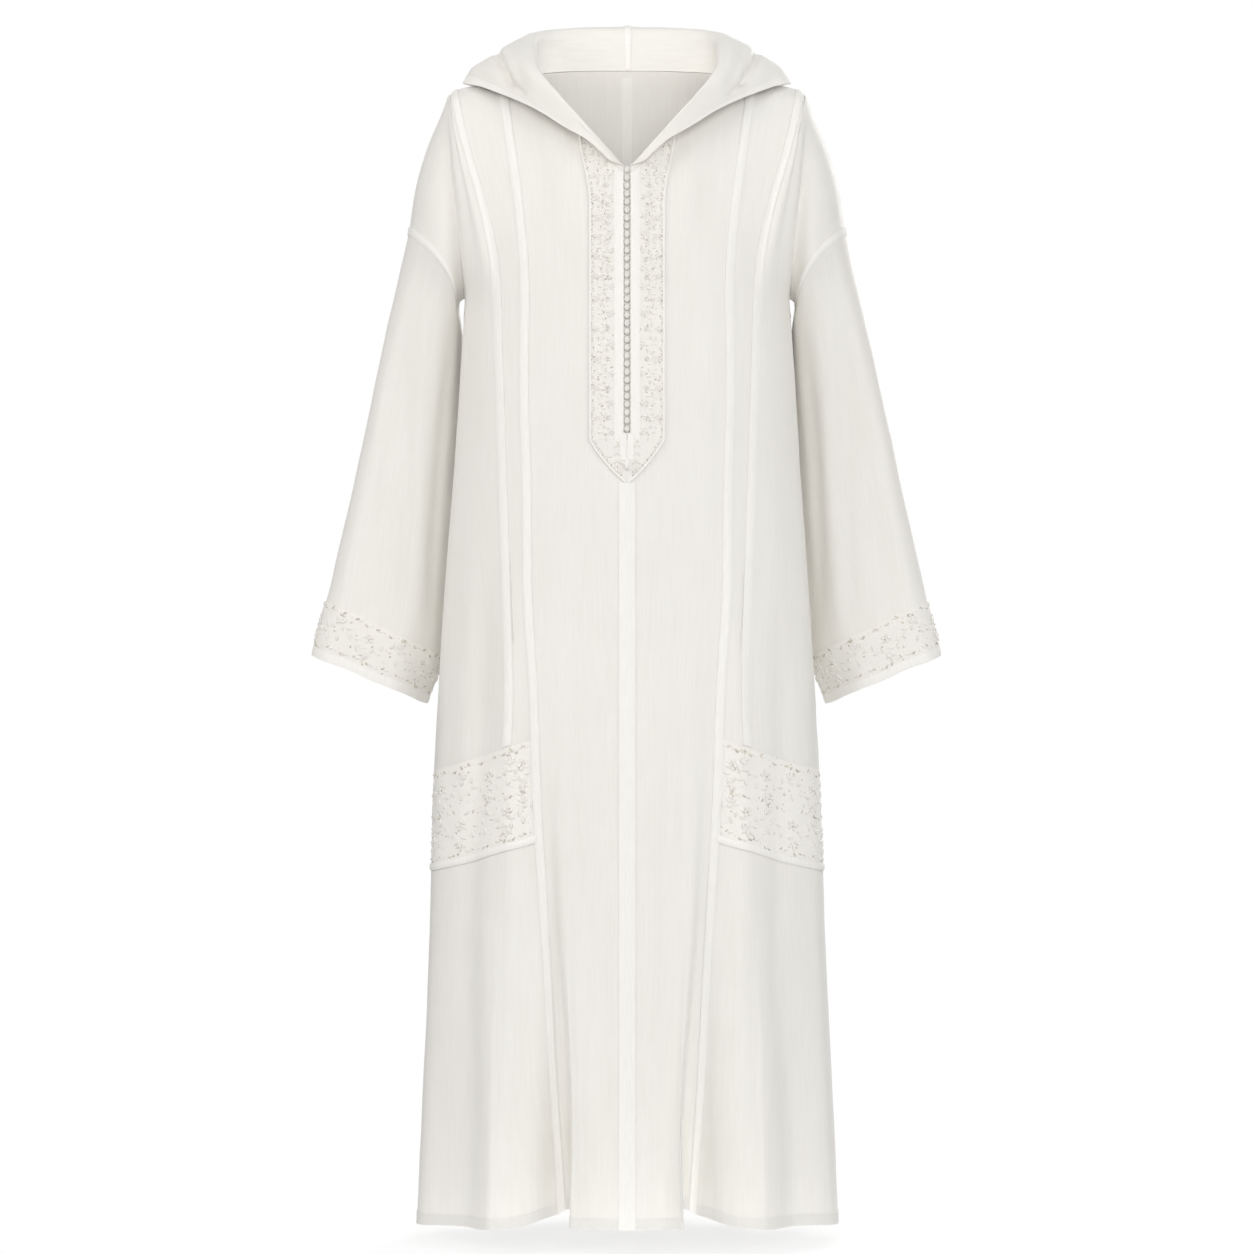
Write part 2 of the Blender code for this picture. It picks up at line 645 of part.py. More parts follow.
def make_placket(surface):
    """Facing strips and embroidered bands, made from the front panel's own points."""
    slit_row = UPPER_ROWS + LOWER_ROWS.index(SLIT_END_Z)
    points, normals = dict(surface.points), dict(surface.normals)
    facing = cut_below_collar(points, normals, SLIT, FACING)
    band = cut_below_collar(points, normals, FACING, BAND)
    for tag, keys in surface.faces:
        if tag == "front" and keys[0][0] == "front" and 0 < keys[0][1] < slit_row:
            if keys[0][2] == SLIT:
                facing.append(keys)
            if keys[0][2] == FACING:
                band.append(keys)
    both_sides("placket_facing", points, normals, facing, WHITE, **ON_TOP)
    tip_shares = (1.0, 0.52, 0.05)
    tip = []
    for step, share in enumerate(tip_shares):
        row = slit_row + step
        limit = BAND_EDGE * share
        for column in range(4):
            here = surface.points[("front", row, column)]
            if here[0] <= limit:
                points[("tip", step, column)] = here
                normals[("tip", step, column)] = surface.normals[("front", row, column)]
                continue
            before = surface.points[("front", row, column - 1)]
            if before[0] <= limit:
                part = (limit - before[0]) / (here[0] - before[0])
                points[("tip", step, column)] = before + part * (here - before)
            else:
                lean = points[("tip", step, column - 1)]
                points[("tip", step, column)] = lean + np.array([0.0008, 0.0, 0.0])
            normals[("tip", step, column)] = surface.normals[("front", row, column)]
    for step in range(2):
        for column in range(3):
            tip.append((("tip", step, column), ("tip", step + 1, column),
                        ("tip", step + 1, column + 1), ("tip", step, column + 1)))
    both_sides("placket_band", points, normals, band, EMBROIDERED, **ON_TOP)
    both_sides("placket_tip", points, normals, tip, EMBROIDERED, **ON_TOP)


def make_tapes(surface, seam_keys):
    """White tapes over the seams."""
    last_row = UPPER_ROWS + len(LOWER_ROWS) - 1
    band_row = UPPER_ROWS + LOWER_ROWS.index(BAND_TOP_Z)
    foot_row = UPPER_ROWS + LOWER_ROWS.index(BAND_FOOT_Z)
    tip_row = UPPER_ROWS + LOWER_ROWS.index(PLACKET_TIP_Z)

    def front_line(column, rows):
        return [("front", row, column) for row in rows]

    for name, seam, foot in (("princess_tape", PRINCESS, last_row),
                             ("side_front_tape", SECOND, band_row)):
        faces = [keys for _, keys in surface.faces if keys[0][0] == "front"
                 and keys[0][1] < foot and keys[0][2] in (seam - 1, seam)]
        both_sides(name, surface.points, surface.normals, faces, WHITE, **ON_TOP)

    faces = [keys for _, keys in surface.faces if len(set(keys) & set(seam_keys)) == 2]
    both_sides("sleeve_tape", surface.points, surface.normals, faces, WHITE, **ON_SEAM)

    # The piping covers the foot of the pocket band, from the princess tape to the side seam
    def band_line(row):
        columns = range(PRINCESS + 1, SIDE)
        return [("front", row, column) for column in columns] + [("side", row)]

    line = band_line(foot_row)
    points, normals, faces = tape_along(line, band_line(foot_row + 1), band_line(foot_row - 1),
                                        surface.points, PIPING / 2)
    both_sides("pocket_piping", points, normals, faces, WHITE, **ON_TOP)

    # One tape runs down the centre front, below the placket
    rows = range(tip_row, last_row + 1)
    points, normals = dict(surface.points), {}
    for row in rows:
        for column in (1, 2):
            here = surface.points[("front", row, column)]
            points[("mirror", row, column)] = here * np.array([-1.0, 1.0, 1.0])
    parts = tape_along(front_line(0, rows), [("mirror", row, 2) for row in rows],
                       front_line(2, rows), points, FRONT_TAPE_HALF)
    start = (0.0, 0.0, -0.0035)
    for j in range(3):
        parts[0][(0, j)] = parts[0][(0, j)] + np.array(start)
    wall("front_tape", *parts, WHITE, **ON_TOP)


def make_buttons(surface):
    """A string of ball buttons that closes the slit, turned round the slit's own line."""
    sides, steps = 6, 4
    profile = (BUTTON_NECK, 0.86 * BUTTON_RADIUS, BUTTON_RADIUS, 0.86 * BUTTON_RADIUS)
    edge = [surface.points[("front", row, 1)] for row in range(UPPER_ROWS + 4)]
    heights = np.array([point[2] for point in edge])[::-1]
    depths = np.array([point[1] for point in edge])[::-1]
    points, faces = [], []
    rings = BUTTON_COUNT * steps + 1
    for i in range(rings):
        z = FIRST_BUTTON_Z + BUTTON_PITCH / 2 - i * BUTTON_PITCH / steps
        middle = np.array([0.0, float(np.interp(z, heights, depths)) - 0.0002, z])
        radius = profile[i % steps]
        for j in range(sides):
            turn = 2 * math.pi * (j + 0.5) / sides
            points.append(middle + radius * np.array([math.cos(turn), math.sin(turn), 0.0]))
    for i in range(rings - 1):
        for j in range(sides):
            after = (j + 1) % sides
            faces.append([i * sides + j, (i + 1) * sides + j,
                          (i + 1) * sides + after, i * sides + after])
    faces.append(list(range(sides)))
    faces.append([(rings - 1) * sides + j for j in reversed(range(sides))])
    add_object("button_row", points, faces, EMBROIDERED, roughness=0.5)


def neck_line(surface):
    """Points and normals of the neckline, from the slit round to centre back."""
    keys = [("front", 0, column) for column in range(SLIT, NECK + 1)]
    keys += [("back", 0, column) for column in range(NECK_BACK + 1, 9)]
    return [surface.points[key] for key in keys], [surface.normals[key] for key in keys]


def make_hood(surface):
    """The hood, lying down: a collar in front, a pointed bag at the back."""
    line, line_normals = neck_line(surface)
    lengths = [0.0]
    for i in range(1, len(line)):
        lengths.append(lengths[-1] + float(np.linalg.norm(line[i] - line[i - 1])))
    shares = np.array(lengths) / lengths[-1]
    body_keys = [key for key in surface.points if key[0] in ("front", "back", "side", "stub",
                                                             "stub_f", "stub_b")]
    index = {key: i for i, key in enumerate(body_keys)}
    facets = [[index[key] for key in keys] for tag, keys in surface.faces
              if tag not in ("sleeve", "cuff", "cuff_hem")]
    tree = BVHTree.FromPolygons([Vector(surface.points[key]) for key in body_keys], facets)

    def clear(point):
        """The point itself, or moved out where it would touch the body."""
        near, normal, _, _ = tree.find_nearest(Vector(point))
        near, normal = np.array(near), np.array(normal)
        stand_off = float((point - near) @ normal)
        return point + normal * max(0.0, HOOD_CLEARANCE - stand_off)

    def station(share):
        """Points across the hood from the neck seam to the face edge."""
        neck = np.array([np.interp(share, shares, [p[axis] for p in line]) for axis in range(3)])
        normal = unit(np.array([np.interp(share, shares, [n[axis] for n in line_normals])
                                for axis in range(3)]))
        values = {name: smooth(HOOD, HOOD_COLUMNS, name, share) for name in HOOD_COLUMNS[1:]}
        roll = np.array([values["roll_x"], values["roll_y"], values["roll_z"]])
        edge = np.array([values["edge_x"], values["edge_y"], values["edge_z"]])
        hang = max(0.0, values["hang"])
        rise = roll - neck
        leaning = math.sqrt(1 - min(1.0, float(unit(rise) @ normal) ** 2))
        start = neck + normal * (SEAM + CLOTH / 2 * leaning)
        path = [start, 0.5 * (start + roll), roll]
        away = (edge - roll) * np.array([1.0, 1.0, 0.0])
        crown = roll + unit(away) * min(ROLL_WIDTH, 0.35 * np.linalg.norm(away))
        for step in range(HOOD_PATH):
            part = step / (HOOD_PATH - 1)
            point = crown + (edge - crown) * part
            turn = math.sin(math.pi * part)
            point = point + np.array([0.0, 0.0, -hang * turn ** 1.6])
            point = point + np.array([0.0, 0.0, 1.0]) * 0.16 * np.linalg.norm(edge - roll) * turn
            path.append(clear(point) if part > 0.3 or hang > 0.02 else point)
        return path

    points, faces = {}, []
    last = 2 * (len(line) - 1)
    for i in range(last + 1):
        share = float(np.interp(i / 2, range(len(line)), shares))
        for j, point in enumerate(station(share)):
            points[(i, j)] = point
    across = HOOD_PATH + 3
    for i in range(last):
        for j in range(across - 1):
            faces.append(((i, j), (i + 1, j), (i + 1, j + 1), (i, j + 1)))
    normals = {key: np.zeros(3) for key in points}
    for keys in faces:
        a, b, c, d = (points[key] for key in keys)
        for key in keys:
            normals[key] += np.cross(c - a, d - b)
    for key, value in normals.items():
        if key[0] == last:
            value[0] = 0.0
        normals[key] = unit(value)
    both_sides("hood", points, normals, faces, IVORY, outer=CLOTH / 2, inner=-CLOTH / 2)


def main():
    for obj in list(bpy.data.objects):
        bpy.data.objects.remove(obj, do_unlink=True)
    surface, seam_keys = body_surface()
    make_panels(surface)
    make_placket(surface)
    make_tapes(surface, seam_keys)
    make_buttons(surface)
    make_hood(surface)


main()
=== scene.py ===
"""Finishes the hooded robe over its solid model: cloth, seams, placket, embroidery and light.

Metres, +Z up, the front faces -Y, and "left" is the wearer's left, at +X. One half of the robe
is worked out as a fine net of points and mirrored, and each half then gets folds of its own.
"""

import itertools
import json
import math

import bpy
import numpy as np
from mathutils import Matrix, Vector
from mathutils.bvhtree import BVHTree

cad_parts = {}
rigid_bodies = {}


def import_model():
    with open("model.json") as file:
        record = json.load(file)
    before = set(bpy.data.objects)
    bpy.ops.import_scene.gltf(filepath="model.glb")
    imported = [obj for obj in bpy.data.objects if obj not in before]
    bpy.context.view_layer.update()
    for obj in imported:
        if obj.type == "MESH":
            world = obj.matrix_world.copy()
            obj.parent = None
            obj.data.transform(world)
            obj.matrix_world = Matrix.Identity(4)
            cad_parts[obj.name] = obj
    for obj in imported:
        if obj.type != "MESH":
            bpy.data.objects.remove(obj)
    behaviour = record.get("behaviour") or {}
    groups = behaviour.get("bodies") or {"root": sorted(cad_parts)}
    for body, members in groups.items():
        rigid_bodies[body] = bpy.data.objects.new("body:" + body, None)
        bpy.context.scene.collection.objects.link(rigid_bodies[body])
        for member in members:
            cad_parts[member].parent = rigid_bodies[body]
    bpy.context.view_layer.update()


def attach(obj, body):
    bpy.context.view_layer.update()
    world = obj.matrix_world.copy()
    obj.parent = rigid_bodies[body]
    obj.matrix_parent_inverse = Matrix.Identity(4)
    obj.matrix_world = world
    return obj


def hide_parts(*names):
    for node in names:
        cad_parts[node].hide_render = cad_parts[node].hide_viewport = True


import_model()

# Cloth
CLOTH = 0.0011  # thickness of the dress cloth
TAPE = 0.0008  # thickness of the seam tapes
BAND_CLOTH = 0.0007  # and of the cuff and placket bands
# How far a tape's edges lie off the cloth, and how much more its middle does
TAPE_LIFT, TAPE_CROWN = 0.0002, 0.0005
HEM_LIFT = 0.0001
EDGE_CORD = 0.0013  # half width of the cord along the placket's edge
TAPE_HALF = 0.005
FRONT_TAPE_HALF = 0.01
NET_ACROSS = 0.0045  # largest step of the fine net across the body
NET_DOWN = 0.008  # and down it
STUB_NET = 4  # fine steps for each step of the dropped shoulder
SAME_POINT_DIGITS = 5  # points that agree to so many decimals are one
ON_MIDDLE = 1e-5  # points this near to x = 0 lie on the middle seam

# Body, shoulder to hem, as in the solid model
HEM_Z = -1.4
UNDERARM_Z = -0.268
ROUNDNESS = 2.3  # 2 is an ellipse, more is squarer
UPPER_ROWS = 8
FRONT_NECK = (0.0, -0.114, -0.121)
SIDE_NECK = np.array([0.122, 0.005, -0.002])
BACK_NECK = (0.0, 0.08, 0.0215)
SHOULDER_TIP = np.array([0.2205, 0.01, -0.029])
SHOULDER_SEAMS = (0.1507, 0.212)
FRONT_NECK_CURVE = (1.5, 1.05)  # how late the V bends back and up on its way to the side
BACK_NECK_CURVE = (0.75, 0.85, 0.7)  # and how early the back of the neck does in x, y, z
# Directions (forward, up) in which the cloth leaves the shoulder and the neck
OFF_SHOULDER = (0.95, -0.3)
OFF_NECK = (0.12, -1.0)
BACK_OFF_SHOULDER = 0.35  # the least share of the first that the back takes
INTO_ARMHOLE = (-0.95, -0.42)  # and in which it comes into the armhole
ARMHOLE_CURVE = 1.5

# Placket
SLIT_HALF = 0.0041
FACING_EDGE = 0.015
BAND_EDGE = 0.044
UNDER_COLLAR = 0.008  # the placket starts this far below the neckline
PLACKET_LIFT = 0.0005  # the placket lies this far off the front
PLACKET_FLARE = 0.22  # its top is this much wider, over the first stretch
FLARE_LENGTH = 0.095
BUTTON_RADIUS = 0.0038
BUTTON_PITCH = 0.0097
BUTTON_COUNT = 33
FIRST_BUTTON_Z = -0.1225
SLIT_END_Z = -0.446
PLACKET_TIP_Z = -0.497

# Pocket bands
BAND_TOP_Z = -0.8024
BAND_FOOT_Z = -0.9224
BAND_SLANT = 0.041
SLANT_FOOT, SLANT_TOP = -1.28, -0.52  # the rows slant with them between these heights
PIPING = 0.0085

# The first row of a table names its columns
BODY = (
    ("z", "half_width", "front", "back"),
    (-0.268, 0.1990, 0.120, 0.116),
    (-0.380, 0.2060, 0.121, 0.118),
    (-0.497, 0.2135, 0.117, 0.117),
    (-0.630, 0.2230, 0.116, 0.120),
    (-0.755, 0.2305, 0.122, 0.130),
    (-0.860, 0.2360, 0.128, 0.136),
    (-1.050, 0.2425, 0.137, 0.143),
    (-1.230, 0.2500, 0.145, 0.149),
    (-1.400, 0.2570, 0.150, 0.154),
)
SEAMS = (
    ("z", "panel_edge", "princess", "side_front"),
    (-0.268, 0.0985, 0.1225, 0.1570),
    (-0.390, 0.0995, 0.1235, 0.1530),
    (-0.497, 0.0965, 0.1205, 0.1495),
    (-0.630, 0.0950, 0.1190, 0.1450),
    (-0.755, 0.0880, 0.1115, 0.1410),
    (-0.860, 0.0850, 0.1085, 0.1460),
    (-1.050, 0.0780, 0.1000, 0.1550),
    (-1.230, 0.0670, 0.0940, 0.1600),
    (-1.400, 0.0655, 0.0885, 0.1620),
)
LOWER_ROWS = (
    UNDERARM_Z, -0.33, -0.39, SLIT_END_Z, -0.472, PLACKET_TIP_Z, -0.56, -0.63, -0.7,
    -0.755, BAND_TOP_Z, -0.862, BAND_FOOT_Z, -0.985, -1.055, -1.125, -1.195, -1.265, -1.335, HEM_Z,
)
# Columns of the front, counted from its middle, and of the back, from the side seam
SLIT, FACING, BAND, NECK, TUCK, PRINCESS, SECOND, SIDE = 1, 2, 3, 5, 6, 8, 13, 17
NECK_BACK, BACK_COLUMNS = 3, 8
PAST_PRINCESS = 0.012  # how far the first column past the princess seam lies from it
PAST_GROWTH = 0.006  # and how much farther at the hem
# Where the front's columns end on the neckline and the shoulder
FRONT_TOP_X = (
    0.0, SLIT_HALF, FACING_EDGE, BAND_EDGE, 0.08, SIDE_NECK[0], 0.134,
    SHOULDER_SEAMS[0] - TAPE_HALF, SHOULDER_SEAMS[0], SHOULDER_SEAMS[0] + TAPE_HALF, 0.17, 0.19,
    SHOULDER_SEAMS[1] - 0.9 * TAPE_HALF, SHOULDER_SEAMS[1], SHOULDER_SEAMS[1] + 0.7 * TAPE_HALF,
    0.2172, 0.2188, SHOULDER_TIP[0],
)

# Folds of the skirt: column, height where the fold starts, how far it has moved out at the hem
FRONT_FOLDS = (
    (2, -0.7, 0.002), (3, -0.56, -0.005), (4, -0.6, 0.003), (5, -0.78, 0.0015),
    (6, -0.8, -0.044), (7, -0.8, -0.047), (8, -0.8, -0.05), (9, -0.8, -0.048),
    (10, -0.8, -0.033), (11, -0.76, -0.007), (12, -0.7, 0.004), (13, -0.7, 0.007),
    (14, -0.7, 0.006), (15, -0.45, -0.011), (16, -0.5, 0.004),
)
BACK_FOLDS = (
    (1, -0.6, 0.005), (2, -0.45, -0.012), (3, -0.6, 0.006), (4, -0.56, -0.032),
    (5, -0.7, 0.008), (6, -0.52, -0.013), (7, -0.6, 0.006), (8, -0.45, -0.016),
)
# How much higher than the back the hem hangs in front, by column
HEM_LIFTS = (0.013, 0.013, 0.013, 0.0132, 0.0142, 0.0195, 0.03, 0.03, 0.0276, 0.0247,
             0.0214, 0.0128, 0.0112, 0.011, 0.0105, 0.009, 0.006, 0.0035)
HEM_LIFT_TOP = -1.2  # the cloth above this isn't lifted
FOLD_OVAL = (0.22, 0.13)  # folds move out square to an oval of this half width and depth
FOLD_GROWTH = 1.7  # how late a fold deepens on its way down
TUCK_DEPTH = 0.044  # how deep the tucked column lies at the hem
TUCK_UNDER = 0.014  # the pleat beside the centre panel is tucked this far under its edge

# Sleeve seam on the dropped shoulder, then the sleeve's cross-sections
DROP_SEAM = (
    ("x", "front_y", "back_y", "z"),
    (0.268, 0.012, 0.012, -0.1840),
    (0.262, -0.018, 0.042, -0.1885),
    (0.252, -0.036, 0.060, -0.1965),
    (0.240, -0.046, 0.070, -0.2075),
    (0.229, -0.051, 0.074, -0.2200),
    (0.220, -0.049, 0.073, -0.2330),
    (0.213, -0.041, 0.066, -0.2480),
    (0.209, -0.020, 0.044, -0.2660),
    (0.209, 0.012, 0.012, -0.2790),
)
STUB_STEPS = 3
CAP_BULGE = 0.009
CAP_OUT = (0.7, 0.7, 0.3)  # the way it bulges: sideways, to the front or back, and up
CAP_FADE = 0.8  # how much less it bulges at the underarm
SLEEVE = (
    ("outer_x", "outer_y", "outer_z", "inner_x", "inner_y", "inner_z", "half_depth"),
    (0.2680, 0.012, -0.184, 0.2090, 0.012, -0.279, 0.055),
    (0.2770, 0.016, -0.225, 0.2035, 0.033, -0.306, 0.054),
    (0.2900, 0.020, -0.282, 0.2030, 0.044, -0.350, 0.052),
    (0.3060, 0.026, -0.355, 0.2060, 0.050, -0.411, 0.051),
    (0.3225, 0.030, -0.430, 0.2110, 0.054, -0.482, 0.050),
    (0.3390, 0.034, -0.505, 0.2160, 0.057, -0.553, 0.050),
    (0.3555, 0.036, -0.575, 0.2215, 0.059, -0.625, 0.050),
    (0.3700, 0.036, -0.638, 0.2290, 0.059, -0.7056, 0.050),
    (0.3845, 0.035, -0.692, 0.2445, 0.057, -0.7535, 0.050),
    (0.3870, 0.035, -0.704, 0.2480, 0.057, -0.7640, 0.050),
)
CUFF_BAND_ROW = 7
CUFF_HEM_ROW = 8
SEAM_FADE = (1.0, 0.45, 0.12)  # how much its first rows follow the seam
SLEEVE_FOLDS = (0.0, 0.002, 0.003, -0.006, -0.003, 0.004, 0.002, -0.002,
                0.0, -0.003, 0.003, 0.004, -0.006, -0.002, 0.004, 0.002)
SLEEVE_FOLD_ROWS = 4  # the folds reach their full depth after so many rows

# Hood, lying down: for each share of the neckline, its roll, its face edge and how far it hangs
HOOD = (
    ("share", "roll_x", "roll_y", "roll_z", "edge_x", "edge_y", "edge_z", "hang"),
    (0.00, 0.0045, -0.118, -0.1200, 0.010, -0.124, -0.1250, 0.000),
    (0.12, 0.0336, -0.115, -0.0870, 0.043, -0.115, -0.0905, 0.000),
    (0.24, 0.0583, -0.106, -0.0590, 0.076, -0.100, -0.0690, 0.000),
    (0.36, 0.0858, -0.088, -0.0260, 0.110, -0.078, -0.0455, 0.000),
    (0.48, 0.1095, -0.059, 0.0060, 0.145, -0.045, -0.0260, 0.000),
    (0.58, 0.1122, -0.020, 0.0310, 0.176, -0.015, -0.0114, 0.004),
    (0.68, 0.1128, 0.033, 0.0570, 0.201, 0.030, -0.0010, 0.012),
    (0.78, 0.0970, 0.076, 0.0700, 0.175, 0.120, 0.0080, 0.070),
    (0.89, 0.0500, 0.096, 0.0760, 0.095, 0.164, 0.0220, 0.170),
    (1.00, 0.0000, 0.100, 0.0775, 0.000, 0.176, 0.0280, 0.240),
)
HOOD_STATIONS = 24
HOOD_PATH = 11
HOOD_NET = 0.0026  # largest step of its fine net across
HOOD_NET_AROUND = 4  # fine steps between two stations
ROLL_WIDTH, ROLL_SHARE = 0.012, 0.35  # its roll's width, and at most this share of the lapel
ROLL_PART, ROLL_HANG = 0.3, 0.02  # past this share it lies on the robe, or if it hangs
HOOD_RISE = 0.16  # how high it arches, as a share of its width
HANG_CURVE = 1.6
RELIEF_GROWS = (0.05, 0.4)  # its folds grow over these shares of its width
HOOD_CLEARANCE = 0.003
HOOD_CLOTH = 0.0013
HOOD_TAPER = 0.02  # the hood's first stretch, which runs out at the slit
TAPER_LEAST = 0.12  # share of its width that is left there
HOOD_STAND = 0.052  # height of the stand, up to the roll
HOOD_HEM = 0.007  # hem along its face edge
HOOD_SEAM = (-0.0045, 0.0075)  # ends of the strip over its centre seam, pressed to one side
HOOD_SEAM_STEP = 0.0013  # thickness of that strip
HOOD_SEAM_NET = 0.0015  # its step across

# Folds of each face: on the sleeve or not, top x and z, foot x and z, width, height
FRONT_CREASES = (
    (1, 0.220, -0.30, 0.238, -0.70, 0.0075, -0.0045),
    (1, -0.220, -0.30, -0.240, -0.70, 0.0075, -0.0045),
    (1, 0.264, -0.29, 0.280, -0.70, 0.0080, -0.0030),
    (1, -0.268, -0.29, -0.279, -0.70, 0.0080, -0.0030),
    (1, 0.245, -0.27, 0.256, -0.70, 0.0090, 0.0025),
    (1, -0.243, -0.27, -0.257, -0.70, 0.0090, 0.0025),
    (1, 0.290, -0.30, 0.315, -0.66, 0.0110, -0.0022),
    (1, -0.285, -0.31, -0.310, -0.66, 0.0110, -0.0022),
    (0, 0.180, -0.56, 0.196, -1.40, 0.0130, -0.0050),
    (0, -0.174, -0.54, -0.196, -1.40, 0.0130, -0.0050),
    (0, 0.130, -0.52, 0.145, -1.40, 0.0120, 0.0035),
    (0, -0.133, -0.54, -0.148, -1.40, 0.0120, 0.0035),
    (0, 0.015, -0.56, 0.016, -1.40, 0.0090, -0.0018),
    (0, -0.023, -0.60, -0.023, -1.40, 0.0090, -0.0024),
    (0, -0.062, -0.52, -0.062, -1.40, 0.0080, -0.0022),
    (0, 0.064, -0.56, 0.062, -1.40, 0.0080, -0.0022),
    (0, 0.038, -0.64, 0.038, -1.40, 0.0090, 0.0014),
    (0, -0.042, -0.64, -0.042, -1.40, 0.0090, 0.0014),
)
BACK_CREASES = (
    (0, 0.032, -0.42, 0.056, -1.40, 0.015, -0.0040),
    (0, -0.030, -0.40, -0.048, -1.40, 0.015, -0.0040),
    (0, 0.090, -0.30, 0.116, -1.40, 0.014, -0.0045),
    (0, -0.094, -0.33, -0.122, -1.40, 0.014, -0.0045),
    (0, 0.060, -0.50, 0.085, -1.40, 0.014, 0.0030),
    (0, -0.062, -0.48, -0.086, -1.40, 0.014, 0.0030),
    (0, 0.150, -0.34, 0.180, -1.40, 0.013, -0.0050),
    (0, -0.154, -0.36, -0.176, -1.40, 0.013, -0.0050),
    (0, 0.122, -0.42, 0.148, -1.40, 0.013, 0.0030),
    (0, -0.126, -0.44, -0.150, -1.40, 0.013, 0.0030),
    (1, 0.238, -0.30, 0.262, -0.70, 0.008, -0.0040),
    (1, -0.238, -0.30, -0.262, -0.70, 0.008, -0.0040),
    (1, 0.275, -0.30, 0.302, -0.69, 0.010, -0.0030),
    (1, -0.278, -0.31, -0.306, -0.69, 0.010, -0.0030),
)
CREASE_START = -0.02  # a crease starts this far beyond its end
CREASE_IN, CREASE_OUT = 0.3, 0.25  # shares of its length over which it fades
CREASE_SWAY = 0.004  # how far it strays from a straight line
SWAY_DOWN, SWAY_ACROSS = 11, 90  # how often, by its height and its place
CREASE_FACING = 1.6  # how late it fades where the cloth turns to the side
SHOULDER_CALM = 0.05  # no folds this near the shoulder seam

# Soft folds everywhere: their grain along x, y and z, seed and height
SOFT_FOLDS = (((0.034, 0.06, 0.42), 3, 0.0016), ((0.017, 0.03, 0.24), 8, 0.0007))
SMALL_FOLDS = (((0.05, 0.05, 0.035), 5, 0.0005),)
HOOD_FOLDS = (((0.045, 0.045, 0.06), 4, 0.002), ((0.02, 0.02, 0.03), 6, 0.0006))
HANG_HEIGHTS = (0.05, 0.55)  # the soft folds grow between these depths below the shoulder
SOFT_LEAST = 0.35  # and start with this share of their height
PLACKET_CALM = 0.05  # half width of the calm cloth round the placket
PLACKET_CALM_FOOT = 0.03  # and how far below its tip that ends

# Creases of the hood in front: ends as x (either side) and z, width, height
HOOD_CREASES = (
    ((0.159, 0.036), (0.143, -0.008), 0.0045, -0.0085),
    ((0.143, -0.008), (0.126, -0.024), 0.004, -0.004),
    ((0.15, 0.034), (0.134, -0.006), 0.006, 0.003),
    ((0.184, 0.012), (0.165, 0.008), 0.013, 0.0045),
    ((0.128, 0.02), (0.112, -0.01), 0.012, 0.0025),
)
CREASE_BACK_END = (0.03, 0.08)  # behind this the hood is smooth

# The shoulder is padded up under the hood: peak, reach along x and reach down the robe
SHOULDER_PAD = 0.015
PAD_X = (0.135, 0.198, 0.206, 0.236)
PAD_DEPTH = 0.085

MIRROR = np.array([-1.0, 1.0, 1.0])


def table_row(table, row):
    """One row of a table, by the names of its columns."""
    return dict(zip(table[0], table[row + 1]))


def table_value(table, name, at):
    """Value of a table's column at a place given by its first column, on a smooth curve."""
    places = np.array([row[0] for row in table[1:]])
    values = np.array([row[table[0].index(name)] for row in table[1:]])
    if places[0] > places[-1]:
        places, values = places[::-1], values[::-1]
    return float(curve_through(values, places, np.clip([at], places[0], places[-1]))[0])


def curve_through(values, places, at):
    """Smooth curve through values, which lie at places along the first axis."""
    slopes = np.gradient(values, places, axis=0)
    i = np.clip(np.searchsorted(places, at, side="right") - 1, 0, len(places) - 2)
    shape = (-1,) + (1,) * (values.ndim - 1)
    step = (places[i + 1] - places[i]).reshape(shape)
    t = (at - places[i]).reshape(shape) / step
    return hermite(values[i], values[i + 1], slopes[i] * step, slopes[i + 1] * step, t)


def ease(value, low, high):
    """0 below low, 1 above high, smooth between."""
    t = np.clip((value - low) / (high - low), 0.0, 1.0)
    return t * t * (3 - 2 * t)


def unit(vector):
    return vector / np.maximum(np.linalg.norm(vector, axis=-1, keepdims=True), 1e-12)


def hermite(start, end, start_slope, end_slope, t):
    """Smooth curve between two values with given slopes."""
    return (
        start * (1 + 2 * t) * (1 - t) ** 2 + start_slope * t * (1 - t) ** 2
        + end * t * t * (3 - 2 * t) - end_slope * t * t * (1 - t)
    )


def drift(points, size, seed):
    """Smooth noise from -1 to 1 for each point. size is its grain along x, y and z."""
    cell = points / np.array(size) + seed * 17.31
    low = np.floor(cell)
    part = cell - low
    part = part * part * (3 - 2 * part)
    total = np.zeros(len(points))
    for corner in itertools.product((0, 1), repeat=3):
        lattice = np.sin((low + corner) @ np.array([12.99, 78.23, 37.72]) + seed) * 4375.85
        weight = np.prod(np.where(corner, part, 1 - part), axis=1)
        total += weight * (2 * (lattice - np.floor(lattice)) - 1)
    return total


def swells(points, table):
    """Several layers of smooth noise: a row for the grain, the seed and the height of each."""
    return sum(drift(points, size, seed) * height for size, seed, height in table)


def steps_for(places, largest):
    """How many equal steps, none over the largest, each interval between places takes."""
    return [max(1, math.ceil(gap / largest)) for gap in np.diff(places)]


def divided(places, steps):
    """Places with each interval divided evenly into its number of steps."""
    fine = [np.linspace(places[i], places[i + 1], count, endpoint=False)
            for i, count in enumerate(steps)]
    return np.concatenate(fine + [places[-1:]])


def distances(net, axis):
    """Mean distance along one axis of a net of points, counted from its first line."""
    steps = np.linalg.norm(np.diff(net, axis=axis), axis=2).mean(axis=1 - axis)
    return np.concatenate([[0.0], np.cumsum(steps)])


def run_along(line):
    """Distance of each point of a line from its start, along the line."""
    steps = np.linalg.norm(np.diff(line, axis=0), axis=1)
    return np.concatenate([[0.0], np.cumsum(steps)])


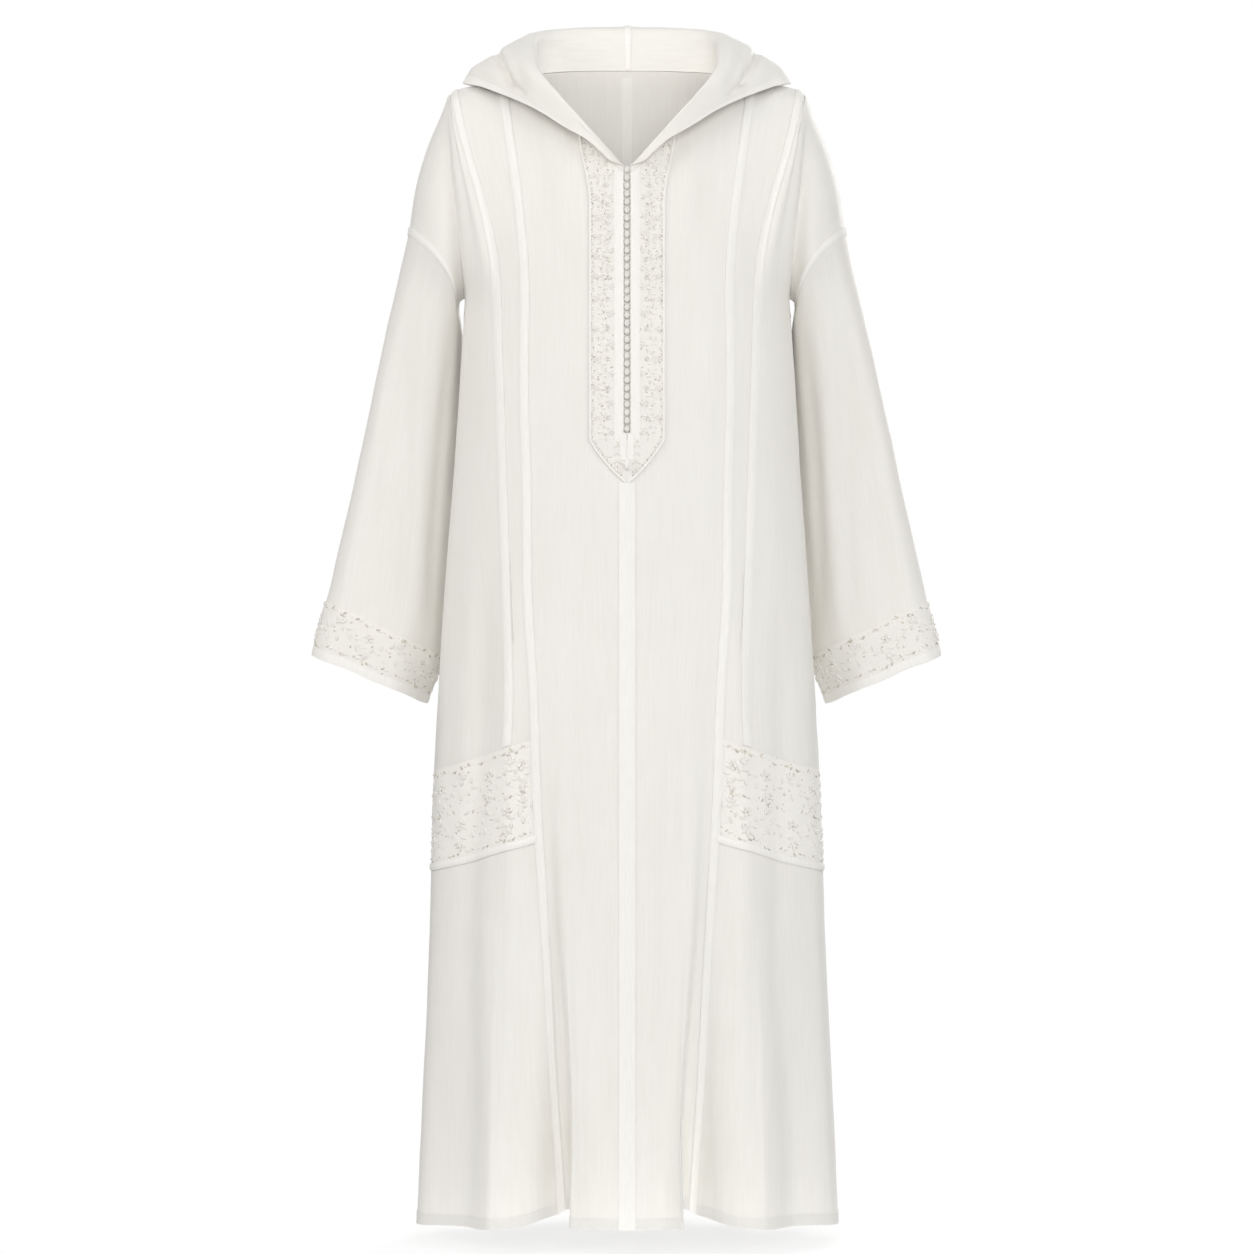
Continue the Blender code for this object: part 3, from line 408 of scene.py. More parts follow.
def evenly(line, step):
    """A line of places again, with equal steps between them."""
    line = np.asarray(line, dtype=float)
    length = run_along(line)
    at = np.linspace(0.0, length[-1], max(2, round(length[-1] / step) + 1))
    return np.stack([np.interp(at, length, line[:, k]) for k in range(2)], axis=1)


def part_way(start, end, points):
    """Where the nearest place on a line between two points lies, from 0 to 1, for each point."""
    step = end - start
    return np.clip((points - start) @ step / (step @ step), 0.0, 1.0)


def ring_point(angle, z):
    """Point of the body's cross-section: angle 0 is centre front, pi / 2 the side."""
    half = table_value(BODY, "half_width", z)
    depth = table_value(BODY, "front" if math.cos(angle) > 0 else "back", z)
    x = half * abs(math.sin(angle)) ** (2 / ROUNDNESS)
    y = -math.copysign(depth * abs(math.cos(angle)) ** (2 / ROUNDNESS), math.cos(angle))
    return np.array([x, y, z])


def front_angles(z):
    """Angles of the columns from centre front to the side seam at one height."""
    half = table_value(BODY, "half_width", z)
    princess = table_value(SEAMS, "princess", z)
    second = table_value(SEAMS, "side_front", z)
    drop = (z - UNDERARM_Z) / (HEM_Z - UNDERARM_Z)
    before = table_value(SEAMS, "panel_edge", z)
    after = princess + PAST_PRINCESS + PAST_GROWTH * drop
    places = [
        0.0, SLIT_HALF, FACING_EDGE, BAND_EDGE, 0.5 * (BAND_EDGE + before), before,
        0.5 * (before + princess - TAPE_HALF),
        princess - TAPE_HALF, princess, princess + TAPE_HALF, after, 0.5 * (after + second),
        second - TAPE_HALF, second, second + TAPE_HALF,
    ]
    angles = [math.asin((x / half) ** (ROUNDNESS / 2)) for x in places]
    last = angles[-1]
    return angles + [last + share * (math.pi / 2 - last) for share in (1 / 3, 2 / 3, 1.0)]


def back_angles():
    """Angles of the columns from the side seam to centre back."""
    return [math.pi / 2 * (1 + i / BACK_COLUMNS) for i in range(BACK_COLUMNS + 1)]


def fold_depth(folds, column, z):
    """How far a column has moved out at one height."""
    for number, start_z, at_hem in folds:
        if number == column:
            share = max(start_z - z, 0.0) / (start_z - HEM_Z)
            return at_hem * share ** FOLD_GROWTH
    return 0.0


def slant(x, z, front):
    """How much lower a row lies away from the princess seam, near the pocket bands."""
    near = ease(z, SLANT_FOOT, BAND_FOOT_Z) * (1 - ease(z, BAND_TOP_Z, SLANT_TOP))
    half = table_value(BODY, "half_width", z)
    inner = table_value(SEAMS, "princess", z) if front else 0.0
    away = min(max((x - inner) / (half - inner), 0.0), 1.0)
    return near * BAND_SLANT * (away if front else away ** 2)


def lower_point(front, column, z):
    """Point of the body below the underarm, folds and slanted rows included."""
    angle = (front_angles(z) if front else back_angles())[column]
    height = z - slant(ring_point(angle, z)[0], z, front)
    angle = (front_angles(height) if front else back_angles())[column]
    point = ring_point(angle, height)
    oval_x, oval_y = FOLD_OVAL
    out = unit(np.array([point[0] / oval_x ** 2, point[1] / oval_y ** 2, 0.0]))
    depth = fold_depth(FRONT_FOLDS if front else BACK_FOLDS, column, height)
    point = point + out * depth
    if front:
        if column == TUCK:
            point[0] -= TUCK_UNDER * (depth / TUCK_DEPTH) ** 2
        point[2] += ease(-z, -HEM_LIFT_TOP, -HEM_Z) * HEM_LIFTS[column]
    return point


def front_top(column):
    """Top end of a front column, on the neckline and then along the shoulder."""
    x = FRONT_TOP_X[column]
    if x <= SIDE_NECK[0]:
        share = x / SIDE_NECK[0]
        back, up = FRONT_NECK_CURVE
        y = FRONT_NECK[1] + (SIDE_NECK[1] - FRONT_NECK[1]) * share ** back
        z = FRONT_NECK[2] + (SIDE_NECK[2] - FRONT_NECK[2]) * share ** up
        return np.array([x, y, z])
    share = (x - SIDE_NECK[0]) / (SHOULDER_TIP[0] - SIDE_NECK[0])
    return SIDE_NECK + share * (SHOULDER_TIP - SIDE_NECK)


def back_top(column):
    """Top end of a back column: along the shoulder, then the back of the neck."""
    if column <= NECK_BACK:
        share = column / NECK_BACK
        return SHOULDER_TIP + share * (SIDE_NECK - SHOULDER_TIP)
    turn = (column - NECK_BACK) / (BACK_COLUMNS - NECK_BACK) * math.pi / 2
    in_x, in_y, in_z = BACK_NECK_CURVE
    x = SIDE_NECK[0] * math.cos(turn) ** in_x
    y = SIDE_NECK[1] + (BACK_NECK[1] - SIDE_NECK[1]) * math.sin(turn) ** in_y
    z = SIDE_NECK[2] + (BACK_NECK[2] - SIDE_NECK[2]) * math.sin(turn) ** in_z
    return np.array([x, y, z])


def upper_point(front, column, row):
    """Point of the body between the shoulder (row 0) and the underarm."""
    top = front_top(column) if front else back_top(column)
    foot = lower_point(front, column, UNDERARM_Z)
    reach = np.linalg.norm(foot - top)
    forward = -1.0 if front else 1.0
    if front:
        over = ease(top[0], 0.0, SIDE_NECK[0])
        into_armhole = (column - SECOND) / (SIDE - SECOND)
    else:
        from_neck = 1 - ease(column, NECK_BACK, BACK_COLUMNS)
        over = BACK_OFF_SHOULDER + (1 - BACK_OFF_SHOULDER) * from_neck
        into_armhole = (NECK_BACK - column) / NECK_BACK
    into_armhole = min(max(into_armhole, 0.0), 1.0) ** ARMHOLE_CURVE
    flat, steep, round_arm = (np.array([0.0, forward * ahead, up])
                              for ahead, up in (OFF_SHOULDER, OFF_NECK, INTO_ARMHOLE))
    down = np.array([0.0, 0.0, -1.0])
    start = unit(steep + over * (flat - steep)) * reach
    end = unit(down + into_armhole * (round_arm - down)) * reach
    return hermite(top, foot, start, end, row / UPPER_ROWS)


def body_point(front, row, column):
    """Point of the body's front or back, rows counted from the shoulder."""
    if row < UPPER_ROWS:
        return upper_point(front, column, row)
    return lower_point(front, column, LOWER_ROWS[row - UPPER_ROWS])


def stub_point(front, row, step, crease):
    """Point of the dropped shoulder, from its crease at the armhole to the sleeve's seam."""
    values = table_row(DROP_SEAM, row)
    seam = np.array([values["x"], values["front_y" if front else "back_y"], values["z"]])
    share = step / STUB_STEPS
    sideways, ahead, up = CAP_OUT
    ahead = (-ahead if front else ahead) * math.sin(math.pi * row / UPPER_ROWS)
    out = np.array([sideways, ahead, up])
    bulge = CAP_BULGE * math.sin(math.pi * share) * (1 - CAP_FADE * row / UPPER_ROWS)
    return crease + share * (seam - crease) + unit(out) * bulge


def sleeve_point(row, column, seam_ring):
    """Point of the sleeve: column 0 is its outer edge, column UPPER_ROWS its inner edge."""
    def oval(level):
        values = table_row(SLEEVE, level)
        outer, inner = (np.array([values[f"{edge}_{axis}"] for axis in "xyz"])
                        for edge in ("outer", "inner"))
        middle = 0.5 * (outer + inner)
        turn = math.pi * column / UPPER_ROWS
        point = middle + 0.5 * (outer - inner) * math.cos(turn)
        return point + np.array([0.0, -values["half_depth"] * math.sin(turn), 0.0]), middle

    fade = SEAM_FADE[row] if row < len(SEAM_FADE) else 0.0
    point, middle = oval(row)
    point = point + fade * (seam_ring[column] - oval(0)[0])
    middle[2] = point[2]
    return point + unit(point - middle) * SLEEVE_FOLDS[column] * ease(row, 0, SLEEVE_FOLD_ROWS)


class Net:
    """A fine net of points through a coarse one. Each coarse step is divided evenly.

    It may go on smoothly into the columns beside it, one before and one after. A turned net's
    columns run the other way round the robe.
    """

    def __init__(self, coarse, row_steps, column_steps, beside=None, turned=False):
        self.turned = turned
        rows, columns = distances(coarse, 0), distances(coarse, 1)
        wide, wide_columns = coarse, columns
        if beside is not None:
            before, after = (line[:, None] for line in beside)
            wide = np.concatenate([before, coarse, after], axis=1)
            wide_columns = np.concatenate([
                [2 * columns[0] - columns[1]], columns, [2 * columns[-1] - columns[-2]]])
        self.columns = divided(columns, column_steps)
        self.rows = divided(rows, row_steps)
        self.column_of = np.concatenate([[0], np.cumsum(column_steps)])
        self.row_of = np.concatenate([[0], np.cumsum(row_steps)])
        fine = curve_through(wide.swapaxes(0, 1), wide_columns, self.columns).swapaxes(0, 1)
        self.points = curve_through(fine, rows, self.rows)
        self.ids = None


class Half:
    """One half of the robe: nets sewn together along their shared points, then folded."""

    def __init__(self, side):
        self.side = side
        self.nets = robe_nets()
        points = np.concatenate([net.points.reshape(-1, 3) for net in self.nets.values()])
        key = np.round(points, SAME_POINT_DIGITS)
        _, first, number = np.unique(key, axis=0, return_index=True, return_inverse=True)
        number = number.reshape(-1)
        start = 0
        for net in self.nets.values():
            size = net.points[..., 0].size
            net.ids = number[start:start + size].reshape(net.points.shape[:2])
            start += size
        self.points = points[first]
        self.points[:, 2] += shoulder_pad(self.points)
        if side < 0:
            self.points = self.points * MIRROR
        self.sleeve_share = np.zeros(len(self.points))
        self.sleeve_share[np.unique(self.nets["sleeve"].ids)] = 1.0
        self.quads = np.concatenate([self.net_quads(net) for net in self.nets.values()])
        self.normals = self.work_out_normals()
        self.points = self.points + self.normals * self.folds()[:, None]
        self.normals = self.work_out_normals()

    def named(self, name):
        """The name of this side's own piece."""
        return f"{name}_{'left' if self.side > 0 else 'right'}"

    def outwards(self, net):
        """True if a net's facets face outwards in their own order on this side."""
        return (self.side > 0) != net.turned

    def net_quads(self, net):
        """Facets of a net as point numbers, facing outwards."""
        quads = facets(net.ids)
        return quads if self.outwards(net) else quads[:, ::-1]

    def work_out_normals(self):
        """Outward normal of each point, from the facets round it."""
        a, b, c, d = (self.points[self.quads[:, i]] for i in range(4))
        cross = np.cross(c - a, d - b)
        total = np.zeros_like(self.points)
        for i in range(4):
            np.add.at(total, self.quads[:, i], cross)
        total[abs(self.points[:, 0]) < ON_MIDDLE, 0] = 0.0
        return unit(total)

    def folds(self):
        """How far each point moves in or out: its creases, and soft folds all round."""
        x, z = self.points[:, 0], self.points[:, 2]
        forward = -self.normals[:, 1] * CREASE_FACING
        move = np.zeros(len(x))
        for facing, creases in ((forward, FRONT_CREASES), (-forward, BACK_CREASES)):
            for crease in creases:
                move += self.crease(crease) * np.clip(facing, 0.0, 1.0)
        hang = SOFT_LEAST + (1 - SOFT_LEAST) * ease(-z, *HANG_HEIGHTS)
        soft = swells(self.points, SOFT_FOLDS) * hang + swells(self.points, SMALL_FOLDS)
        placket = (np.exp(-(x / PLACKET_CALM) ** 2)
                   * ease(z, PLACKET_TIP_Z - PLACKET_CALM_FOOT, SLIT_END_Z))
        return (move + soft * (1 - placket)) * self.shoulder_calm()

    def crease(self, crease):
        """How far one crease moves each point, if the point faces the crease's way."""
        on_sleeve, x_top, z_top, x_foot, z_foot, width, height = crease
        x, z = self.points[:, 0], self.points[:, 2]
        share = np.clip((z - z_top) / (z_foot - z_top), 0.0, 1.0)
        span = z_top - z_foot
        fade = ease(z_top - z, CREASE_START, CREASE_IN * span)
        if z_foot > HEM_Z:
            fade = fade * ease(z - z_foot, CREASE_START, CREASE_OUT * span)
        line = x_top + share * (x_foot - x_top)
        sway = CREASE_SWAY * np.sin(z * SWAY_DOWN + x_top * SWAY_ACROSS)
        ridge = np.exp(-((x - line - sway) / width) ** 2)
        where = self.sleeve_share if on_sleeve else 1 - self.sleeve_share
        return height * ridge * fade * where

    def shoulder_calm(self):
        """0 on the shoulder seam and 1 away from it."""
        points = self.points * np.array([self.side, 1.0, 1.0])
        share = part_way(SIDE_NECK, SHOULDER_TIP, points)[:, None]
        nearest = SIDE_NECK + share * (SHOULDER_TIP - SIDE_NECK)
        return ease(np.linalg.norm(points - nearest, axis=1), 0.0, SHOULDER_CALM)


def facets(grid):
    """Four-cornered facets between the neighbours of a grid, down and then across."""
    quads = np.stack([grid[:-1, :-1], grid[1:, :-1], grid[1:, 1:], grid[:-1, 1:]], axis=2)
    return quads.reshape((-1, 4) + grid.shape[2:])


def net_facets(points):
    """Facets of a rectangular net of points, by the numbers of the points."""
    return facets(np.arange(points[..., 0].size).reshape(points.shape[:2]))


def robe_nets():
    """Fine nets of the wearer's left half: front, back, dropped shoulder and sleeve."""
    front, back = (np.array([[body_point(is_front, row, column) for column in range(last + 1)]
                             for row in range(UPPER_ROWS + len(LOWER_ROWS))])
                   for is_front, last in ((True, SIDE), (False, BACK_COLUMNS)))
    upper = UPPER_ROWS + 1
    stub_front, stub_back = (
        np.array([[stub_point(is_front, row, step, crease[row]) for step in range(STUB_STEPS + 1)]
                  for row in range(upper)])
        for is_front, crease in ((True, front[:upper, SIDE]), (False, back[:upper, 0])))
    ring = np.concatenate([stub_front[:, -1], stub_back[-2:0:-1, -1]])
    sleeve = np.array([ring] + [[sleeve_point(row, column, ring) for column in range(len(ring))]
                                for row in range(1, len(SLEEVE) - 1)])
    sleeve = np.concatenate([sleeve, sleeve[:, :1]], axis=1)

    # Past the side seam a net goes on with its neighbour's next column, so the surface is smooth
    beside_front = np.concatenate([2 * front[:UPPER_ROWS, SIDE] - front[:UPPER_ROWS, SIDE - 1],
                                   back[UPPER_ROWS:, 1]])
    beside_back = np.concatenate([2 * back[:UPPER_ROWS, 0] - back[:UPPER_ROWS, 1],
                                  front[UPPER_ROWS:, SIDE - 1]])
    row_steps = steps_for(distances(front, 0), NET_DOWN)
    upper_steps = row_steps[:UPPER_ROWS]
    ring_steps = upper_steps + upper_steps[::-1]
    stub_steps = [STUB_NET] * STUB_STEPS
    nets = {
        "front": Net(front, row_steps, steps_for(distances(front, 1), NET_ACROSS),
                     (front[:, 1] * MIRROR, beside_front)),
        "back": Net(back, row_steps, steps_for(distances(back, 1), NET_ACROSS),
                    (beside_back, back[:, -2] * MIRROR)),
        "stub_front": Net(stub_front, upper_steps, stub_steps),
        "stub_back": Net(stub_back, upper_steps, stub_steps, turned=True),
        "sleeve": Net(sleeve, steps_for(distances(sleeve, 0), NET_DOWN), ring_steps,
                      (sleeve[:, -2], sleeve[:, 1]), turned=True),
    }
    sew_up(nets)
    return nets


def sew_up(nets):
    """Brings the edges that two nets share to the same points."""
    front, back = nets["front"].points, nets["back"].points
    stub_front, stub_back = nets["stub_front"].points, nets["stub_back"].points
    underarm = nets["front"].row_of[UPPER_ROWS]
    side_seam = 0.5 * (front[underarm:, -1] + back[underarm:, 0])
    front[underarm:, -1] = side_seam
    back[underarm:, 0] = side_seam
    stub_front[:, 0] = front[:underarm + 1, -1]
    stub_back[:, 0] = back[:underarm + 1, 0]
    for row in (0, -1):
        edge = 0.5 * (stub_front[row] + stub_back[row])
        stub_front[row] = edge
        stub_back[row] = edge
    tip = 0.5 * (front[0, -1] + back[0, 0])
    for corner in (front[0, -1:], back[0, :1], stub_front[0, :1], stub_back[0, :1]):
        corner[:] = tip
    ring = np.concatenate([stub_front[:, -1], stub_back[-2::-1, -1]])
    nets["sleeve"].points[0] = ring
    nets["sleeve"].points[:, -1] = nets["sleeve"].points[:, 0]


def shoulder_pad(points):
    """How far each point is raised so that the shoulder meets the hood lying over it."""
    x = np.abs(points[:, 0])
    low_in, full_in, full_out, low_out = PAD_X
    along = ease(x, low_in, full_in) * (1 - ease(x, full_out, low_out))
    seam = np.interp(x, (SIDE_NECK[0], SHOULDER_TIP[0]), (SIDE_NECK[2], SHOULDER_TIP[2]))
    return SHOULDER_PAD * along * (1 - ease(seam - points[:, 2], 0.0, PAD_DEPTH))


def new_mesh(name, points, faces=()):
    mesh = bpy.data.meshes.new(name)
    mesh.from_pydata([tuple(point) for point in points], [], [list(map(int, f)) for f in faces])
    return mesh


def in_scene(name, data):
    """A new object in the scene."""
    made = bpy.data.objects.new(name, data)
    bpy.context.scene.collection.objects.link(made)
    return made


def add_piece(name, points, faces, material, uvs=None, thickness=0.0, offset=-1.0):
    """A smooth-shaded piece. thickness gives it a wall, inwards from its outer face."""
    mesh = new_mesh(name, points, faces)
    mesh.materials.append(material)
    if uvs is not None:
        layer = mesh.uv_layers.new(name="cloth")
        layer.data.foreach_set("uv", np.asarray(uvs, dtype=float).reshape(-1))
    mesh.shade_smooth()
    sharpen_rim(mesh)
    piece = in_scene(name, mesh)
    if thickness:
        wall = piece.modifiers.new("wall", "SOLIDIFY")
        wall.thickness = thickness
        wall.offset = offset
    return piece


def sharpen_rim(mesh):
    """Marks the open edges sharp, so that a cloth's cut edge doesn't darken its face."""
    edges = np.empty(len(mesh.loops), dtype=int)
    mesh.loops.foreach_get("edge_index", edges)
    is_open = np.bincount(edges, minlength=len(mesh.edges)) == 1
    mesh.edges.foreach_set("use_edge_sharp", is_open)


finishes = {}  # the materials


def dress(piece, stands):
    """The piece rides with the robe, and may stand for the solid of the same name."""
    name = piece.name.split(".")[0]
    if stands:
        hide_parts(name)
    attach(piece, "root")


def cut_panel(half, name, cells, finish):
    """One cut panel. cells gives, for each net it takes part of, which of its facets."""
    quads, uvs = [], []
    for net_name, mask in cells.items():
        net = half.nets[net_name]
        corners = facets(np.stack(np.meshgrid(net.columns, -net.rows), axis=-1))
        keep = np.broadcast_to(mask, np.array(net.ids.shape) - 1).reshape(-1)
        quads.append(half.net_quads(net)[keep])
        uvs.append((corners if half.outwards(net) else corners[:, ::-1])[keep])
    quads, uvs = np.concatenate(quads), np.concatenate(uvs)
    used, numbers = np.unique(quads, return_inverse=True)
    name = half.named(name)
    dress(add_piece(name, half.points[used], numbers.reshape(-1, 4), finishes[finish], uvs,
                    CLOTH), stands=True)
    cloth_area(half.points, quads)


def cloth_area(points, quads):
    a, b, c, d = (points[quads[:, i]] for i in range(4))
    return float(np.linalg.norm(np.cross(c - a, d - b), axis=1).sum()) / 2


def cell_masks(half):
    """For each panel of the robe, which facets of the nets belong to it."""
    front = half.nets["front"]
    row, column = np.indices(np.array(front.ids.shape) - 1)
    slit = (column < front.column_of[SLIT]) & (row < level(front, SLIT_END_Z))
    princess = front.column_of[PRINCESS]
    second = front.column_of[SECOND]
    band, foot = level(front, BAND_TOP_Z), level(front, BAND_FOOT_Z)
    return {
        "front": {"front": (column < princess) & ~slit},
        "side_front": {"front": (column >= princess) & (column < second) & (row < band)},
        "side": {"front": (column >= second) & (row < band), "stub_front": True},
        "pocket_band": {"front": (column >= princess) & (row >= band) & (row < foot)},
        "lower_side": {"front": (column >= princess) & (row >= foot)},
        "back": {"back": True, "stub_back": True},
        "sleeve": {"sleeve": True},
    }


def level(net, z):
    """Fine row of the front or back net at one of the lower rows' heights."""
    return int(net.row_of[UPPER_ROWS + LOWER_ROWS.index(z)])


class Patch:
    """A surface with points and directions at any place (u across, v down)."""

    def __init__(self, points, normals, columns, rows):
        self.points, self.normals = points, normals
        self.columns, self.rows = columns, rows

    @classmethod
    def of_net(cls, half, name, rows, columns):
        net = half.nets[name]
        ids = net.ids[rows, columns]
        return cls(half.points[ids], half.normals[ids], net.columns[columns], net.rows[rows])

    def at(self, u, v, lift=0.0):
        """Point lifted off the surface, its outward normal and the directions of u and v."""
        i = np.clip(np.searchsorted(self.columns, u, side="right") - 1, 0, len(self.columns) - 2)
        j = np.clip(np.searchsorted(self.rows, v, side="right") - 1, 0, len(self.rows) - 2)
        s = (u - self.columns[i]) / (self.columns[i + 1] - self.columns[i])
        t = (v - self.rows[j]) / (self.rows[j + 1] - self.rows[j])
        s, t = np.asarray(s)[..., None], np.asarray(t)[..., None]

        def mix(values):
            top = values[j, i] * (1 - s) + values[j, i + 1] * s
            foot = values[j + 1, i] * (1 - s) + values[j + 1, i + 1] * s
            return top * (1 - t) + foot * t

        normal = unit(mix(self.normals))
        across = unit(self.points[j, i + 1] - self.points[j, i])
        down = unit(self.points[j + 1, i] - self.points[j, i])
        return mix(self.points) + normal * lift, normal, across, down


def strip(half, name, net_name, rows, columns, finish, lift=(TAPE_LIFT, TAPE_CROWN),
          lengthwise=True, thickness=TAPE):
    """A tape or band that follows part of a net. Returns its outer surface.

    lift gives how far its edges lie off the cloth, and how much more its middle does.
    """
    patch = Patch.of_net(half, net_name, rows, columns)
    line = patch.columns if lengthwise else patch.rows
    share = (line - line[0]) / (line[-1] - line[0])
    rise = lift[0] + lift[1] * np.sin(np.pi * share) ** 0.5
    rise = rise[None, :, None] if lengthwise else rise[:, None, None]
    points = patch.points + patch.normals * rise
    net_piece(half, name, points, patch.columns, patch.rows, finish, thickness,
              flip=half.nets[net_name].turned)
    return Patch(points + patch.normals * thickness, patch.normals, patch.columns, patch.rows)


def net_piece(half, name, points, u, v, finish, thickness, stands=True, flip=False, offset=1.0):
    """A rectangular net of points as a thin piece, walled outwards from its under side.

    A piece in the middle has no half. Nets that run upwards or backwards are flipped.
    """
    left = half is None or half.side > 0
    quads = net_facets(points)
    if left == flip:
        quads = quads[:, ::-1]
    uvs = np.stack(np.meshgrid(u, -np.asarray(v)), axis=-1).reshape(-1, 2)[quads]
    dress(add_piece(half.named(name) if half else name, points.reshape(-1, 3), quads,
                    finishes[finish], uvs, thickness, offset), stands)


class Shade:
    """A value in a material that Python's own operators work on."""

    def __init__(self, nodes, socket):
        self.nodes, self.socket = nodes, socket

    def maths(self, operation, *others):
        return self.nodes.value("ShaderNodeMath", {"operation": operation},
                                {0: self, **dict(enumerate(others, 1))})

    def __add__(self, other):
        return self.maths("ADD", other)

    __radd__ = __add__

    def __mul__(self, other):
        return self.maths("MULTIPLY", other)

    __rmul__ = __mul__

    def __sub__(self, other):
        return self.maths("SUBTRACT", other)

    def __rsub__(self, other):
        return (self * -1.0) + other

    def between(self, low, high):
        """0 below low and 1 above high, smooth between."""
        return self.nodes.value("ShaderNodeMapRange", {"interpolation_type": "SMOOTHSTEP"},
                                {0: self, 1: low, 2: high, 3: 0.0, 4: 1.0})


class Finish:
    """One material: adds nodes, and sets the sockets of its Principled shader."""

    def __init__(self, name, colour, roughness, **sockets):
        self.material = bpy.data.materials.new(name)
        self.material.use_nodes = True
        self.tree = self.material.node_tree
        self.shader = self.tree.nodes["Principled BSDF"]
        self.set("Base Color", (*colour, 1.0))
        self.set("Roughness", roughness)
        for socket, value in sockets.items():
            self.set(socket.replace("_", " "), value)

    def add(self, kind, settings=None, values=None, output=0):
        """A node of any kind: its settings first, then the values or links of its sockets."""
        node = self.tree.nodes.new(kind)
        for setting, value in (settings or {}).items():
            setattr(node, setting, value)
        for socket, value in (values or {}).items():
            self.feed(node.inputs[socket], value)
        return node.outputs[output]

    def feed(self, socket, value):
        if isinstance(value, Shade):
            value = value.socket
        if isinstance(value, bpy.types.NodeSocket):
            self.tree.links.new(value, socket)
        else:
            socket.default_value = value

    def set(self, socket, value):
        self.feed(self.shader.inputs[socket], value)

    def value(self, kind, settings=None, values=None, output=0):
        return Shade(self, self.add(kind, settings, values, output))

    def scaled(self, source, scale):
        """Coordinates from the piece's cloth map or its object, stretched by scale."""
        if source == "cloth":
            start = self.add("ShaderNodeUVMap", {"uv_map": "cloth"})
        else:
            start = self.add("ShaderNodeTexCoord", output=3)
        return self.add("ShaderNodeMapping", {}, {"Vector": start, "Scale": scale})

    def noise(self, source, scale, detail=2.0):
        return self.value("ShaderNodeTexNoise", {}, {
            "Vector": self.scaled(source, scale), "Scale": 1.0, "Detail": detail,
            "Roughness": 0.55})

    def wave(self, source, scale, direction):
        return self.value("ShaderNodeTexWave", {"bands_direction": direction}, {
            "Vector": self.scaled(source, scale), "Scale": 1.0, "Distortion": 0.0}, output=1)

    def blend(self, mask, first, second):
        """Its colour between two: first where the mask is 0, second where it is 1."""
        self.set("Base Color", self.add("ShaderNodeMix", {"data_type": "RGBA"}, {
            0: mask, 6: (*first, 1.0), 7: (*second, 1.0)}, output=2))

    def bump(self, height, distance, strength=1.0, before=None):
        values = {"Height": height, "Distance": distance, "Strength": strength}
        if before is not None:
            values["Normal"] = before
        return self.add("ShaderNodeBump", {}, values)


# A wave texture of scale 1 repeats every 1 / WAVES_PER_UNIT units
WAVES_PER_UNIT = 20 / (2 * math.pi)
# Light that goes a little way into thin cloth
SHEER = {"Subsurface_Weight": 0.3, "Subsurface_Scale": 0.002, "Subsurface_Radius": (1.0, 1.0, 1.0)}


def woven(finish, threads_per_metre):
    """Height of a plain weave: warp and weft threads that pass over and under."""
    rate = threads_per_metre / WAVES_PER_UNIT
    warp, weft = (finish.wave("cloth", (rate, rate, rate), way) for way in ("X", "Y"))
    return warp * 0.5 + weft * 0.5


def satin(name, dark, light):
    """Soft ivory satin, slightly sheer, with fine slubs down the warp."""
    cloth = Finish(name, light, 0.62, Sheen_Weight=0.25, Sheen_Roughness=0.4,
                   Specular_IOR_Level=0.35, **SHEER)
    slub = cloth.noise("cloth", (420.0, 16.0, 1.0), 3.0)
    broad = cloth.noise("object", (9.0, 9.0, 3.0), 2.0)
    mask = (slub * 0.55 + broad * 0.45).between(0.3, 0.7)
    cloth.blend(mask, dark, light)
    cloth.set("Roughness", slub * 0.16 + 0.54)
    fine = cloth.bump(woven(cloth, 1100.0), 0.00006, 0.5)
    cloth.set("Normal", cloth.bump(slub, 0.00022, 0.6, fine))
    return cloth.material


def tape_cloth():
    """White double-layer tape, a shade brighter than the dress."""
    tape = Finish("white_tape", (0.93, 0.925, 0.905), 0.7, Sheen_Weight=0.2, Specular_IOR_Level=0.3)
    slub = tape.noise("cloth", (500.0, 40.0, 1.0), 2.0)
    tape.blend(slub.between(0.3, 0.7), (0.895, 0.88, 0.845), (0.93, 0.918, 0.888))
    fine = tape.bump(woven(tape, 1000.0), 0.00007, 0.5)
    tape.set("Normal", tape.bump(tape.noise("object", (160.0, 160.0, 160.0), 2.0), 0.0004, 0.35,
                                 fine))
    return tape.material


def embroidered_ground():
    """The ground of the bands: the dress cloth under a close filling of dull thread."""
    ground = Finish("embroidery_ground", (0.83, 0.81, 0.77), 0.75, Sheen_Weight=0.3,
                    Specular_IOR_Level=0.3, **SHEER)
    cells = ground.value("ShaderNodeTexVoronoi", {"feature": "DISTANCE_TO_EDGE"}, {
        "Vector": ground.scaled("cloth", (650.0, 650.0, 1.0)), "Scale": 1.0})
    patch = ground.noise("cloth", (90.0, 90.0, 1.0), 3.0)
    mask = (cells.between(0.02, 0.25) * 0.6 + patch * 0.6).between(0.3, 0.9)
    ground.blend(mask, (0.955, 0.935, 0.888), (0.925, 0.9, 0.846))
    ground.set("Normal", ground.bump(cells.between(0.0, 0.3), 0.00018, 0.6))
    return ground.material


def ivory_silk():
    """Satin stitches: fine threads across the shape, with a soft gloss."""
    light, dark = (0.93, 0.915, 0.88), (0.865, 0.845, 0.8)
    silk = Finish("ivory_silk", light, 0.42, Sheen_Weight=0.35, Specular_IOR_Level=0.5)
    strands = silk.noise("object", (1500.0, 1500.0, 1500.0), 1.0)
    silk.blend(strands.between(0.3, 0.7), dark, light)
    silk.set("Normal", silk.bump(strands, 0.0002, 0.7))
    return silk.material


